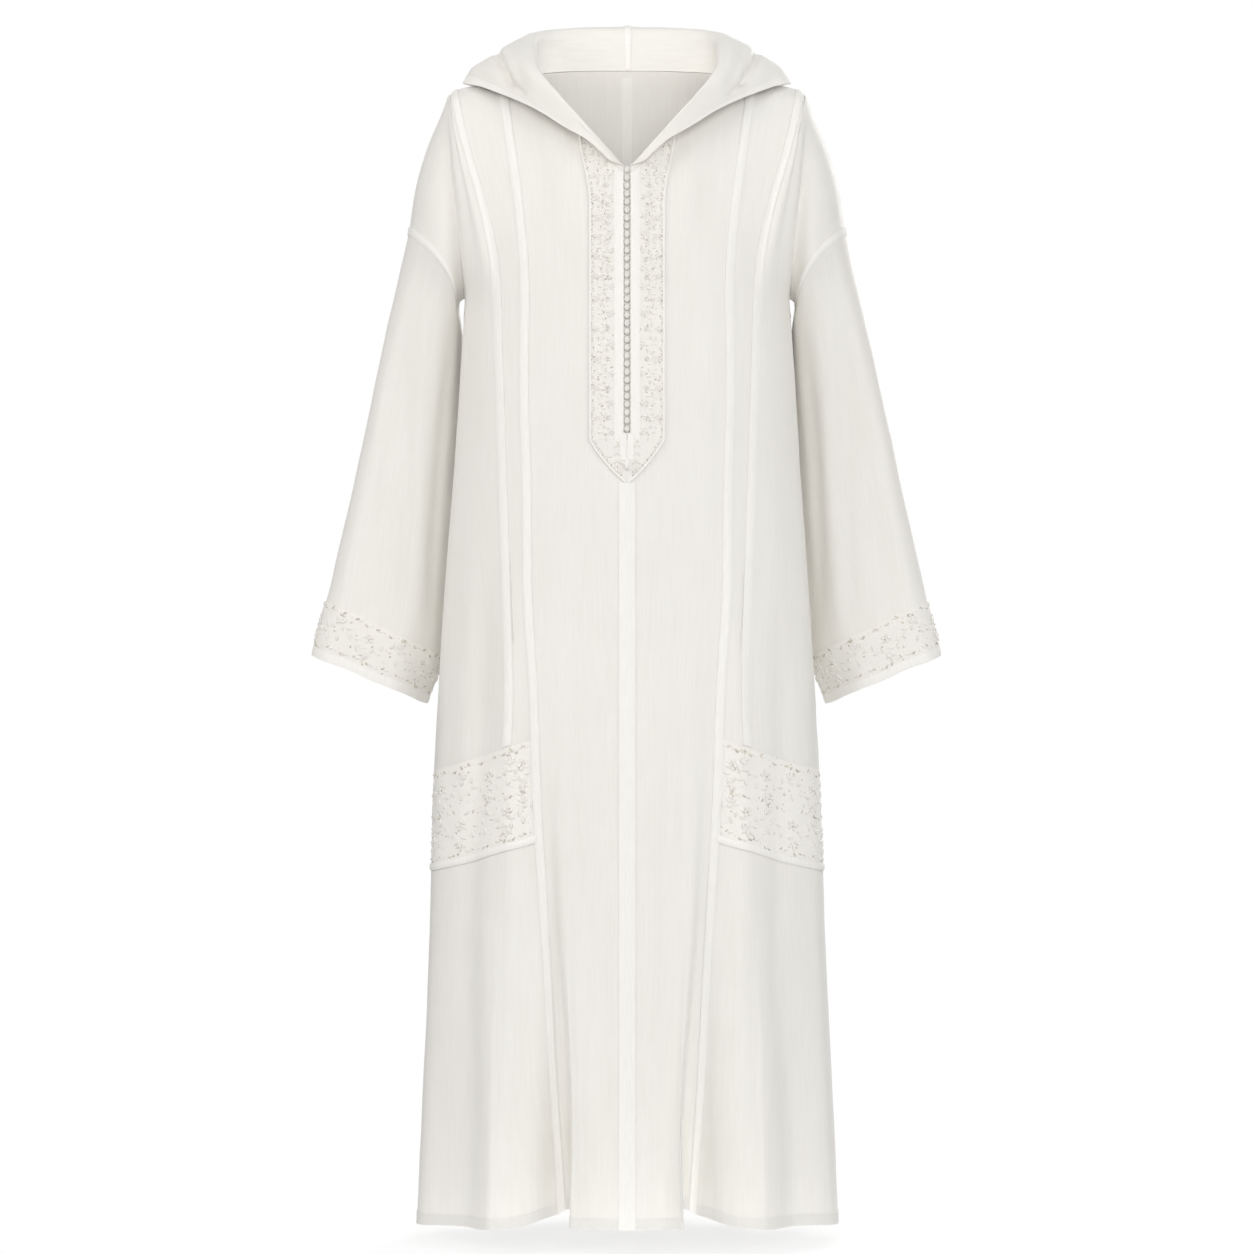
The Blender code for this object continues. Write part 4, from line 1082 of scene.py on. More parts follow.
def bead_glass(name, light, dark, roughness, **sockets):
    """Small glass beads, which differ a little in tone from one to the next."""
    bead = Finish(name, light, roughness, **sockets)
    tone = bead.noise("object", (140.0, 140.0, 140.0), 0.0)
    bead.blend(tone.between(0.35, 0.65), light, dark)
    return bead.material


def button_cord(name, dark, light):
    """Silky cord, wound and knotted: fine twisted ridges."""
    cord = Finish(name, light, 0.5, Sheen_Weight=0.3)
    turns = cord.wave("object", (260.0, 260.0, 420.0), "DIAGONAL")
    tone = cord.noise("object", (90.0, 90.0, 90.0), 2.0)
    cord.blend((turns * 0.6 + tone * 0.4).between(0.2, 0.8), dark, light)
    cord.set("Normal", cord.bump(turns, 0.0005, 0.7))
    return cord.material


def make_finishes():
    """All the materials, by what they are used for."""
    tape = tape_cloth()
    finishes.update({
        "cloth": satin("dress_cloth", (0.85, 0.831, 0.786), (0.892, 0.877, 0.839)),
        # The hem satin is a darker copy of the dress cloth: painted shade against the light the
        # glowing floor throws up on the hem
        "hem": satin("hem_cloth", (0.832, 0.815, 0.776), (0.862, 0.849, 0.815)),
        "tape": tape,
        "hood_tape": tape,
        "ground": embroidered_ground(),
        "silk": ivory_silk(),
        "bead": bead_glass("pearly_bead", (0.74, 0.69, 0.6), (0.57, 0.535, 0.46), 0.22,
                           Coat_Weight=0.5, Coat_Roughness=0.1, Specular_IOR_Level=0.6),
        # White pearls: real beads whose white also serves as a painted highlight beside the dark
        # beads
        "pearl": bead_glass("white_pearl_and_painted_highlight", (0.92, 0.905, 0.88), (0.84, 0.82, 0.78), 0.25,
                            Coat_Weight=0.4, Coat_Roughness=0.15),
        "cord": button_cord("button_cord", (0.86, 0.84, 0.785), (0.93, 0.915, 0.87)),
        # Loop cord coloured dark brown: painted shade for the shadowed gaps between the ball
        # buttons
        "loop": button_cord("loop_cord_painted_shade", (0.44, 0.375, 0.28), (0.54, 0.475, 0.375)),
    })


# View and light
CAMERA_DISTANCE = 5.0
FRAME_WIDTH = 1.536  # what the picture takes in at the robe
CAMERA_Z = -0.67
FLOOR_Z = -1.418
SURROUNDING_LIGHT = 0.42
FLOOR_SOLID, FLOOR_EDGE = 0.1, 0.48
FLOOR_GLOW = 0.74  # keeps the shadow on it pale
FLOOR_SIDES = 96
FLOOR_GREY = (0.26, 0.26, 0.26)
MIDDLE = (0.0, 0.0, -0.65)
DAYLIGHT, WARM = (1.0, 0.99, 0.97), (1.0, 0.97, 0.93)
# Round lamps: place, what they aim at, size, power and colour
LAMPS = {
    "front": ((0.2, -5.0, 0.5), MIDDLE, 2.6, 86.0, DAYLIGHT),
    "side": ((-3.4, -2.0, 0.9), MIDDLE, 2.2, 47.0, WARM),
    "fill": ((3.2, -3.0, -0.2), MIDDLE, 2.6, 46.0, DAYLIGHT),
    "top": ((0.0, 0.4, 3.0), MIDDLE, 2.0, 16.0, DAYLIGHT),
    "back": ((1.8, 4.2, 1.0), MIDDLE, 2.6, 100.0, DAYLIGHT),
    "inside": ((0.0, -0.03, -0.04), (0.0, 0.09, 0.0), 0.1, 0.046, DAYLIGHT),
}


def make_floor():
    """A pale round floor under the robe, which fades out into the white surroundings."""
    floor = Finish("studio_floor", FLOOR_GREY, 0.9, Emission_Color=(1.0, 1.0, 1.0, 1.0),
                   Emission_Strength=FLOOR_GLOW)
    away = floor.value("ShaderNodeVectorMath", {"operation": "LENGTH"},
                       {0: floor.scaled("object", (1.0, 1.0, 0.0))}, output=1)
    floor.set("Alpha", 1 - away.between(FLOOR_SOLID, FLOOR_EDGE))
    points = [(0.0, 0.0, FLOOR_Z)]
    for k in range(FLOOR_SIDES):
        turn = 2 * math.pi * k / FLOOR_SIDES
        points.append((FLOOR_EDGE * math.cos(turn), FLOOR_EDGE * math.sin(turn), FLOOR_Z))
    faces = [[0, 1 + k, 1 + (k + 1) % FLOOR_SIDES] for k in range(FLOOR_SIDES)]
    add_piece("studio_floor", points, faces, floor.material)


def add_light(name, place, aim, size, power, colour):
    lamp = bpy.data.lights.new(name, "AREA")
    lamp.shape = "DISK"
    lamp.size = size
    lamp.energy = power
    lamp.color = colour
    light = in_scene(name, lamp)
    light.location = place
    light.rotation_euler = (Vector(aim) - Vector(place)).to_track_quat("-Z", "Y").to_euler()
    light.visible_camera = False


def make_surroundings():
    """White surroundings, which light the robe less brightly than the camera sees them."""
    world = bpy.data.worlds.new("studio")
    world.use_nodes = True
    tree = world.node_tree
    seen = tree.nodes.new("ShaderNodeLightPath").outputs["Is Camera Ray"]
    strength = tree.nodes.new("ShaderNodeMapRange")
    strength.inputs["To Min"].default_value = SURROUNDING_LIGHT
    strength.inputs["To Max"].default_value = 1.0
    tree.links.new(seen, strength.inputs["Value"])
    background = tree.nodes["Background"]
    background.inputs["Color"].default_value = (1.0, 1.0, 1.0, 1.0)
    tree.links.new(strength.outputs["Result"], background.inputs["Strength"])
    bpy.context.scene.world = world


def make_camera():
    """A camera square to the front, far enough off to flatten the view as in the photo."""
    camera_data = bpy.data.cameras.new("camera")
    camera_data.sensor_width = 36.0
    camera_data.lens = 36.0 * CAMERA_DISTANCE / FRAME_WIDTH
    camera_data.clip_end = 40.0
    camera = in_scene("camera", camera_data)
    camera.location = (0.0, -CAMERA_DISTANCE, CAMERA_Z)
    camera.rotation_euler = (math.pi / 2, 0.0, 0.0)
    bpy.context.scene.camera = camera


def make_studio():
    """Pale floor, even white surroundings, soft lights and the camera."""
    make_floor()
    make_surroundings()
    for name, lamp in LAMPS.items():
        add_light(name, *lamp)
    make_camera()
    bpy.context.scene.view_settings.view_transform = "Standard"


# Places across a tape, as shares of its half width, and down and across the placket
ACROSS_TAPE = np.array([-1.0, -0.6, 0.0, 0.6, 1.0])
ACROSS_FRONT_TAPE = np.array([0.0, 0.35, 0.75, 1.0])
BAND_COLUMNS, TIP_COLUMNS, TIP_ROWS = 9, 11, 13
FACING_LIFT = (0.0004, 0.0007)
SEAM_LIFT, SEAM_CROWN = 0.0003, 0.0006  # lift and crown of the tapes across two panels
PIPING_CROWN = 0.0016
CORD_STEP = 0.003
# How much of the placket's width is left, at shares of the way from the slit's end to its tip
TIP_OUTLINE = ((0.0, 0.25, 0.5, 0.75, 1.0), (1.0, 0.83, 0.6, 0.35, 0.03))
# Behind: where a tape starts and ends, whether it lies inside, its half width and lift
BACK_TAPES = {
    "back_tape": (0.01, None, False, TAPE_HALF, 0.0002),
    "back_seam": (0.002, 0.42, True, 1.3 * TAPE_HALF, 0.0001),
}


def make_tapes(half):
    """White tapes over the long seams, the sleeve seam and the foot of the pocket band.

    Returns the marks of their stitching.
    """
    front = half.nets["front"]
    marks = []
    for name, seam, foot in (("princess_tape", PRINCESS, len(front.rows) - 1),
                             ("side_front_tape", SECOND, level(front, BAND_TOP_Z))):
        columns = slice(front.column_of[seam - 1], front.column_of[seam + 1] + 1)
        tape = strip(half, name, "front", slice(0, foot + 1), columns, "tape")
        marks += tape_stitching(tape)
    make_piping(half)
    return marks + tape_stitching(make_sleeve_tape(half), lengthwise=False)


def make_piping(half):
    """Padded piping under the pocket band, from the princess tape to the side seam."""
    front = half.nets["front"]
    foot = level(front, BAND_FOOT_Z)
    columns = slice(front.column_of[PRINCESS + 1] - 1, front.column_of[SIDE] + 1)
    patch = Patch.of_net(half, "front", slice(foot - 3, foot + 4), columns)
    across = np.linspace(-PIPING / 2, PIPING / 2, 7)
    down = front.rows[foot] + across
    u, v = np.meshgrid(patch.columns, down)
    crown = PIPING_CROWN * np.sqrt(1 - (across / (PIPING / 2 + 0.0004)) ** 2)
    points = patch.at(u, v, TAPE_LIFT + crown[:, None, None])[0]
    net_piece(half, "pocket_piping", points, patch.columns, down, "tape", TAPE / 2)


def make_sleeve_tape(half):
    """Tape over the sleeve's seam, half on the dropped shoulder. Returns its surface."""
    stub_front, stub_back = half.nets["stub_front"], half.nets["stub_back"]
    sleeve = half.nets["sleeve"]
    ring = sleeve.ids[0]
    inner = np.concatenate([stub_front.ids[:, -2], stub_back.ids[-2::-1, -2]])
    seam, normals = half.points[ring], half.normals[ring]
    before = seam + unit(half.points[inner] - seam) * TAPE_HALF
    after = seam + unit(half.points[sleeve.ids[1]] - seam) * TAPE_HALF
    rows = []
    for share in ACROSS_TAPE:
        edge = before if share < 0 else after
        rise = SEAM_LIFT + SEAM_CROWN * (1 - share * share)
        rows.append(seam + (edge - seam) * abs(share) + normals * rise)
    rows, along, down = np.array(rows), run_along(seam), ACROSS_TAPE * TAPE_HALF
    net_piece(half, "sleeve_tape", rows, along, down, "tape", TAPE, flip=sleeve.turned)
    normals = np.broadcast_to(normals, rows.shape)
    return Patch(rows + normals * TAPE, normals, along, down)


def make_cuffs(half):
    """The plain hem of the sleeve and the band above it. Returns the surfaces of both."""
    net = half.nets["sleeve"]
    top, middle, foot = (net.row_of[row] for row in (CUFF_BAND_ROW, CUFF_HEM_ROW, CUFF_HEM_ROW + 1))
    return [strip(half, name, "sleeve", rows, slice(None), finish, lengthwise=False,
                  thickness=BAND_CLOTH)
            for name, rows, finish in (("cuff_hem", slice(middle, foot + 1), "tape"),
                                       ("cuff_band", slice(top, middle + 1), "ground"))]


def placket_rows(half):
    """The front's rows beside the placket: under the collar, the slit's end and the tip."""
    net = half.nets["front"]
    edge = half.points[net.ids[:, net.column_of[BAND]]]
    start = int(np.searchsorted(np.linalg.norm(edge - edge[0], axis=1), UNDER_COLLAR))
    return start, level(net, SLIT_END_Z), level(net, PLACKET_TIP_Z)


def placket_flare(down):
    """How many times its width at the foot the placket is wide, at each place down it."""
    return 1 + PLACKET_FLARE * (1 - ease(down - down[0], 0.0, FLARE_LENGTH))


def make_placket(half):
    """Facing strip and embroidered band beside the slit. Returns the band's surface."""
    net = half.nets["front"]
    start, slit_row, _ = placket_rows(half)
    rows = slice(start, slit_row + 1)
    strip(half, "placket_facing", "front", rows,
          slice(net.column_of[SLIT], net.column_of[FACING] + 1), "tape", FACING_LIFT)
    patch = Patch.of_net(half, "front", rows, slice(0, net.column_of[NECK] + 1))
    inner, outer = net.columns[net.column_of[FACING]], net.columns[net.column_of[BAND]]
    share = np.linspace(0.0, 1.0, BAND_COLUMNS)
    u = inner + (outer * placket_flare(patch.rows) - inner)[:, None] * share
    v = np.broadcast_to(patch.rows[:, None], u.shape)
    points, normals, _, _ = patch.at(u, v, PLACKET_LIFT)
    columns = inner + (outer - inner) * share
    net_piece(half, "placket_band", points, columns, patch.rows, "ground", BAND_CLOTH)
    return Patch(points + normals * BAND_CLOTH, normals, columns, patch.rows)


def make_placket_tip(half):
    """The pointed foot of the placket below the slit. Returns its surface."""
    net = half.nets["front"]
    _, slit_row, tip_row = placket_rows(half)
    patch = Patch.of_net(half, "front", slice(slit_row, tip_row + 1),
                         slice(0, net.column_of[BAND] + 1))
    down = np.linspace(patch.rows[0], patch.rows[-1], TIP_ROWS)
    share = np.linspace(0.0, 1.0, TIP_COLUMNS)
    u = patch.columns[-1] * tip_share(patch, down)[:, None] * share
    points = patch.at(u, np.broadcast_to(down[:, None], u.shape), PLACKET_LIFT)[0]
    net_piece(half, "placket_tip", points, BAND_EDGE * share, down, "ground", BAND_CLOTH)
    lifted = patch.points + patch.normals * (PLACKET_LIFT + BAND_CLOTH)
    return Patch(lifted, patch.normals, patch.columns, patch.rows)


def make_placket_cord(half):
    """A thin bright cord along the placket's outer edge, round to its tip."""
    net = half.nets["front"]
    start, slit_row, tip_row = placket_rows(half)
    patch = Patch.of_net(half, "front", slice(start, tip_row + 2),
                         slice(0, net.column_of[NECK] + 1))
    tip = Patch.of_net(half, "front", slice(slit_row, tip_row + 1), slice(0, 2))
    outer = net.columns[net.column_of[BAND]]
    down = net.rows[start:slit_row + 1]
    below = np.linspace(tip.rows[0], tip.rows[-1], TIP_ROWS)[1:]
    line = evenly(np.concatenate([
        np.stack([outer * placket_flare(down), down], axis=1),
        np.stack([outer * tip_share(tip, below), below], axis=1)]), CORD_STEP)
    ahead = unit(np.gradient(line, axis=0))
    across = EDGE_CORD * ACROSS_TAPE
    u = np.maximum(line[:, :1] - ahead[:, 1:] * across, 0.0)
    v = line[:, 1:] + ahead[:, :1] * across
    rise = EDGE_CORD * np.sqrt(1.05 - (across / EDGE_CORD) ** 2)
    points = patch.at(u, v, PLACKET_LIFT + 0.6 * BAND_CLOTH + rise[None, :, None])[0]
    net_piece(half, "placket_cord", points, across, np.arange(len(line)) * CORD_STEP, "tape",
              TAPE / 2, stands=False, flip=True)


def tip_share(patch, v):
    """How much of the placket's width is left at v, between the slit's end and the tip."""
    return np.interp((v - patch.rows[0]) / (patch.rows[-1] - patch.rows[0]), *TIP_OUTLINE)


def make_front_tape(halves):
    """One wide tape down the centre front, from the tip of the placket to the hem."""
    rows = []
    for half in halves:
        net = half.nets["front"]
        down = slice(level(net, PLACKET_TIP_Z), len(net.rows))
        patch = Patch.of_net(half, "front", down, slice(0, net.column_of[BAND]))
        u, v = np.meshgrid(FRONT_TAPE_HALF * ACROSS_FRONT_TAPE, patch.rows)
        lift = SEAM_LIFT + SEAM_CROWN * (1 - ACROSS_FRONT_TAPE ** 4)
        rows.append(patch.at(u, v, lift[None, :, None])[0])
    left, right = rows
    points = np.concatenate([right[:, :0:-1], left], axis=1)
    across = np.concatenate([-ACROSS_FRONT_TAPE[:0:-1], ACROSS_FRONT_TAPE])
    net_piece(None, "front_tape", points, FRONT_TAPE_HALF * across, patch.rows, "tape", TAPE)


def make_back_tapes(halves):
    """A tape down the centre-back seam, and its seam allowance inside below the neck."""
    for name, (first, last, inside, width, lift) in BACK_TAPES.items():
        rows = []
        for half in halves:
            net = half.nets["back"]
            down = slice(int(np.searchsorted(net.rows, first)),
                         None if last is None else int(np.searchsorted(net.rows, last)))
            patch = Patch.of_net(half, "back", down, slice(-6, None))
            u, v = np.meshgrid(patch.columns[-1] + width * ACROSS_TAPE[:3], patch.rows)
            rows.append(patch.at(u, v, -CLOTH - lift if inside else lift)[0])
        left, right = rows
        points = np.concatenate([left, right[:, -2::-1]], axis=1)
        net_piece(None, name, points, width * ACROSS_TAPE, patch.rows, "tape", TAPE,
                  stands=False, flip=inside)


def robe_tree(half):
    """Search tree of the robe's surface without its sleeves."""
    quads = np.concatenate([half.net_quads(net) for name, net in half.nets.items()
                            if name != "sleeve"])
    return BVHTree.FromPolygons(half.points.tolist(), quads.tolist())


def neck_line(half):
    """Points and normals of the neckline, from the slit round to centre back."""
    front, back = half.nets["front"], half.nets["back"]
    ids = list(front.ids[0, front.column_of[SLIT]:front.column_of[NECK]])
    ids += list(back.ids[0, back.column_of[NECK_BACK]:])
    return half.points[ids], half.normals[ids]


def hood_net(half):
    """Points across the hood, from the neck seam over the roll to the face edge."""
    line, normals = neck_line(half)
    lengths = run_along(line)
    shares = lengths / lengths[-1]
    tree = robe_tree(half)
    flip = np.array([half.side, 1.0, 1.0])

    def clear(point):
        """The point, or moved out where it would touch the robe."""
        near, normal, _, _ = tree.find_nearest(Vector(point))
        near, normal = np.array(near), np.array(normal)
        return point + normal * max(0.0, HOOD_CLEARANCE - float((point - near) @ normal))

    stations = []
    for share in np.linspace(0.0, 1.0, HOOD_STATIONS + 1):
        neck, normal = (np.array([np.interp(share, shares, column) for column in part.T])
                        for part in (line, normals))
        roll, edge = (np.array([table_value(HOOD, f"{part}_{axis}", share)
                                for axis in "xyz"]) * flip for part in ("roll", "edge"))
        hang = max(0.0, table_value(HOOD, "hang", share))
        start = neck + unit(normal) * CLOTH
        away = (edge - roll) * np.array([1.0, 1.0, 0.0])
        width = min(ROLL_WIDTH, ROLL_SHARE * float(np.linalg.norm(away)))
        crown = roll + unit(away) * width
        path = [start, 0.5 * (start + roll), roll]
        for step in range(HOOD_PATH):
            part = step / (HOOD_PATH - 1)
            turn = math.sin(math.pi * part)
            point = crown + (edge - crown) * part
            rise = (HOOD_RISE * float(np.linalg.norm(edge - roll)) * turn
                    - hang * turn ** HANG_CURVE)
            point = point + np.array([0.0, 0.0, rise])
            on_robe = part > ROLL_PART or hang > ROLL_HANG
            path.append(clear(point) if on_robe else point)
        stations.append(path)
    coarse = np.array(stations)
    coarse[-1, :, 0] = 0.0
    across, around = distances(coarse, 1), distances(coarse, 0)
    u = divided(across, steps_for(across, HOOD_NET))
    v = divided(around, [HOOD_NET_AROUND] * HOOD_STATIONS)
    fine = curve_through(coarse.swapaxes(0, 1), across, u).swapaxes(0, 1)
    return curve_through(fine, around, v), u, v


def hood_relief(points, normals, across):
    """How far the hood's cloth moves out: soft swells, and the crease over the shoulder."""
    flat = points.reshape(-1, 3)
    soft = swells(flat, HOOD_FOLDS)
    seen = np.stack([np.abs(flat[:, 0]), flat[:, 2]], axis=1)
    facing = np.clip(-normals.reshape(-1, 3)[:, 1] * 2.0 + 0.6, 0.0, 1.0)
    facing *= 1 - ease(flat[:, 1], *CREASE_BACK_END)
    for start, end, width, height in HOOD_CREASES:
        start, end = np.array(start), np.array(end)
        nearest = start + part_way(start, end, seen)[:, None] * (end - start)
        away = np.linalg.norm(seen - nearest, axis=1)
        soft += height * np.exp(-(away / width) ** 2) * facing
    return soft.reshape(points.shape[:2]) * ease(across, *RELIEF_GROWS)


def make_hood(half):
    """The hood, lying down: a collar in front and a pointed bag behind. Returns its surface."""
    points, u, v = hood_net(half)
    along, across = np.gradient(points, axis=0), np.gradient(points, axis=1)
    normals = unit(np.cross(along, across)) * half.side
    normals[-1] = unit(normals[-1] * np.array([0.0, 1.0, 1.0]))
    share = np.arange(len(u)) / (len(u) - 1)
    front_of_lapel = normals[HOOD_NET_AROUND * 3, len(u) // 2]
    outer = normals * (-1.0 if float(front_of_lapel[1]) > 0 else 1.0)
    points = points + outer * hood_relief(points, outer, share)[..., None]
    points[-1, :, 0] = 0.0
    closed = ease(v, 0.0, HOOD_TAPER)[:, None, None]
    points = points[:, :1] + (points - points[:, :1]) * (TAPER_LEAST + (1 - TAPER_LEAST) * closed)
    net_piece(half, "hood", points, u, -v, "cloth", HOOD_CLOTH, offset=0.0)
    area = cloth_area(points.reshape(-1, 3), net_facets(points))
    half.named("hood")
    return Patch(points, outer, u, v)


def make_hood_hem(half, hood):
    """The narrow hem along the hood's face edge."""
    across = hood.columns[-1] - HOOD_HEM * np.array([1.0, 0.94, 0.5, 0.0])
    u, v = np.meshgrid(across, hood.rows)
    points = hood.at(u, v, HOOD_CLOTH / 2 + HEM_LIFT)[0]
    net_piece(half, "hood_hem", points, across, hood.rows, "hood_tape", HEM_STEP, stands=False,
              flip=True)


def make_hood_seam(hoods):
    """The strip over the hood's centre seam, inside its stand from the neck to the roll."""
    left, right = hoods
    height = np.linspace(0.001, HOOD_STAND, 16)
    low, high = HOOD_SEAM
    rows = []
    for hood, away in ((right, np.linspace(-low, 0.0, 4)), (left, np.linspace(0.0, high, 5)[1:])):
        u, v = np.meshgrid(height, hood.rows[-1] - away)
        rows.append(hood.at(u, v, HOOD_CLOTH / 2 + HEM_LIFT)[0])
    points = np.concatenate(rows)
    net_piece(None, "hood_seam", points, height, np.arange(len(points)) * HOOD_SEAM_NET,
              "hood_tape", HOOD_SEAM_STEP, stands=False)


def repeat_tree():
    """Sets a shape on each marked point, with that point's own turn and size."""
    tree = bpy.data.node_groups.new("repeat_on_marks", "GeometryNodeTree")
    tree.is_modifier = True
    for name, kind in (("Marks", "Geometry"), ("Shape", "Object"), ("Scale", "Float"),
                       ("Material", "Material")):
        tree.interface.new_socket(name, in_out="INPUT", socket_type=f"NodeSocket{kind}")
    tree.interface.new_socket("Pieces", in_out="OUTPUT", socket_type="NodeSocketGeometry")

    def add(kind, **links):
        node = tree.nodes.new(kind)
        for socket, source in links.items():
            tree.links.new(source, node.inputs[socket.replace("_", " ")])
        return node

    given = add("NodeGroupInput").outputs
    shape = add("GeometryNodeObjectInfo", Object=given["Shape"])
    stored = {}
    for name in ("turn", "size"):
        stored[name] = add("GeometryNodeInputNamedAttribute")
        stored[name].data_type = "FLOAT_VECTOR"
        stored[name].inputs["Name"].default_value = name
    turn = add("FunctionNodeEulerToRotation", Euler=stored["turn"].outputs["Attribute"])
    size = tree.nodes.new("ShaderNodeVectorMath")
    size.operation = "SCALE"
    tree.links.new(stored["size"].outputs["Attribute"], size.inputs[0])
    tree.links.new(given["Scale"], size.inputs["Scale"])
    copies = add("GeometryNodeInstanceOnPoints", Points=given["Marks"],
                 Instance=shape.outputs["Geometry"], Rotation=turn.outputs["Rotation"],
                 Scale=size.outputs["Vector"])
    real = add("GeometryNodeRealizeInstances", Geometry=copies.outputs["Instances"])
    dressed = add("GeometryNodeSetMaterial", Geometry=real.outputs["Geometry"],
                  Material=given["Material"])
    add("NodeGroupOutput", Pieces=dressed.outputs["Geometry"])
    return tree


def turns_of(along, normals):
    """Euler turns that bring +Z to the normals and +X as near to along as that allows."""
    along = unit(along - normals * (along * normals).sum(axis=1)[:, None])
    side = np.cross(normals, along)
    return np.stack([np.arctan2(side[:, 2], normals[:, 2]),
                     np.arcsin(np.clip(-along[:, 2], -1.0, 1.0)),
                     np.arctan2(along[:, 1], along[:, 0])], axis=1)


def repeat(tree, name, shape, marks, finish, scale=1.0, stands=False):
    """Makes one piece from a shape and its marks: points, directions, normals and sizes."""
    points, along, normals, sizes = (np.asarray(part, dtype=float) for part in marks)
    mesh = new_mesh(name + "_marks", points)
    for attribute, values in (("turn", turns_of(along, normals)), ("size", sizes)):
        layer = mesh.attributes.new(attribute, "FLOAT_VECTOR", "POINT")
        layer.data.foreach_set("vector", values.reshape(-1))
    holder = in_scene(name + "_marks", mesh)
    modifier = holder.modifiers.new("repeat", "NODES")
    modifier.node_group = tree
    sockets = {item.name: item.identifier for item in tree.interface.items_tree
               if item.in_out == "INPUT"}
    modifier[sockets["Shape"]] = shape
    modifier[sockets["Scale"]] = scale
    modifier[sockets["Material"]] = finishes[finish]
    bpy.context.view_layer.update()
    evaluated = holder.evaluated_get(bpy.context.evaluated_depsgraph_get())
    result = bpy.data.meshes.new_from_object(evaluated)
    result.name = name
    piece = in_scene(name, result)
    bpy.data.objects.remove(holder)
    dress(piece, stands)


def make_shape(name, points, faces):
    """A small shape to be repeated. It is kept out of the scene."""
    mesh = new_mesh(name, points, faces)
    mesh.shade_smooth()
    return bpy.data.objects.new(name, mesh)


def turned_shape(name, profile, sides):
    """A shape turned round X from (x, radius) pairs, closed to a point at both ends."""
    points, faces = [(profile[0][0], 0.0, 0.0)], []
    for x, radius in profile[1:-1]:
        for k in range(sides):
            turn = 2 * math.pi * k / sides
            points.append((x, radius * math.cos(turn), radius * math.sin(turn)))
    points.append((profile[-1][0], 0.0, 0.0))
    rings = len(profile) - 2
    for k in range(sides):
        after = (k + 1) % sides
        faces.append([0, 1 + after, 1 + k])
        for ring in range(rings - 1):
            low, high = 1 + ring * sides, 1 + (ring + 1) * sides
            faces.append([low + k, low + after, high + after, high + k])
        last = 1 + (rings - 1) * sides
        faces.append([last + k, last + after, len(points) - 1])
    return make_shape(name, points, faces)


def leaf_shape():
    """A leaf in satin stitch from x = 0 to 1, padded, with a furrow down its middle."""
    along = (0.1, 0.3, 0.55, 0.8)
    widths = (0.5, 0.92, 1.0, 0.62)
    across = (-1.0, -0.72, -0.3, 0.0, 0.3, 0.72, 1.0)
    heights = (0.0, 0.8, 1.0, 0.45, 1.0, 0.8, 0.0)
    points, faces = [(0.0, 0.0, 0.0)], []
    for x, width in zip(along, widths):
        points += [(x, 0.5 * width * share, high * width ** 0.5)
                   for share, high in zip(across, heights)]
    points.append((1.0, 0.0, 0.0))
    count, tip = len(across), len(points) - 1
    last = tip - count
    for k in range(count - 1):
        faces.append([0, 2 + k, 1 + k][::-1])
        for row in range(len(along) - 1):
            low = 1 + row * count
            faces.append([low + k, low + count + k, low + count + k + 1, low + k + 1])
        faces.append([last + k, tip, last + k + 1])
    right = [1 + row * count for row in range(len(along))]
    left = [first + count - 1 for first in right]
    faces.append([0] + left + [tip] + right[::-1])
    return make_shape("leaf", points, faces)


def make_shapes():
    """The small shapes: a leaf, a stitch, a grain, a round bead and a long bead."""
    ball = [(-0.5, 0.0), (-0.36, 0.35), (0.0, 0.5), (0.36, 0.35), (0.5, 0.0)]
    grain = [(0.0, 0.0), (0.12, 0.36), (0.5, 0.5), (0.88, 0.36), (1.0, 0.0)]
    return {
        "leaf": leaf_shape(),
        "stitch": turned_shape("stitch", grain, 6),
        "grain": turned_shape("grain", [(0.0, 0.0), (0.2, 0.5), (0.8, 0.5), (1.0, 0.0)], 4),
        "bead": turned_shape("bead", ball, 8),
        "long_bead": turned_shape("long_bead", grain, 8),
    }


# Embroidery: length, width and height of each stitch and bead
STEM = (0.0027, 0.001, 0.0007)
STEM_STEP = 0.002
STEM_LEAN = 0.22  # stem stitches lie a little across their line
LEAF_HEIGHT = 0.0016
LONG_BEAD = (0.006, 0.0029, 0.0019)
MIDDLE_BEAD = (0.005, 0.0025, 0.0017)
FOOT_BEAD = (0.0048, 0.0024, 0.0017)
SMALL_BEAD = (0.0036, 0.0019, 0.0015)
FINE_BEAD = (0.003, 0.0016, 0.0013)
GROUND_BEAD = (0.0026, 0.0016, 0.0013)
FLOWER_BEAD = (0.0028, 0.0028, 0.002)
PEARL = (0.0021, 0.0021, 0.0017)
KNOT = (0.0013, 0.0013, 0.0009)
CURL_STEPS = 14
SUNK = 0.0001  # how far the work sits in the cloth
SIDE_SEED = 10  # each band's own draws start from this and its side
# Each kind of mark: its shape, its finish and what its piece is called
MARKS = {
    "stem": ("stitch", "silk", "stem_stitches"),
    "leaf": ("leaf", "silk", "satin_leaves"),
    "bead": ("long_bead", "bead", "beads"),
    "pearl": ("bead", "pearl", "pearls"),
    "knot": ("bead", "silk", "knots"),
}


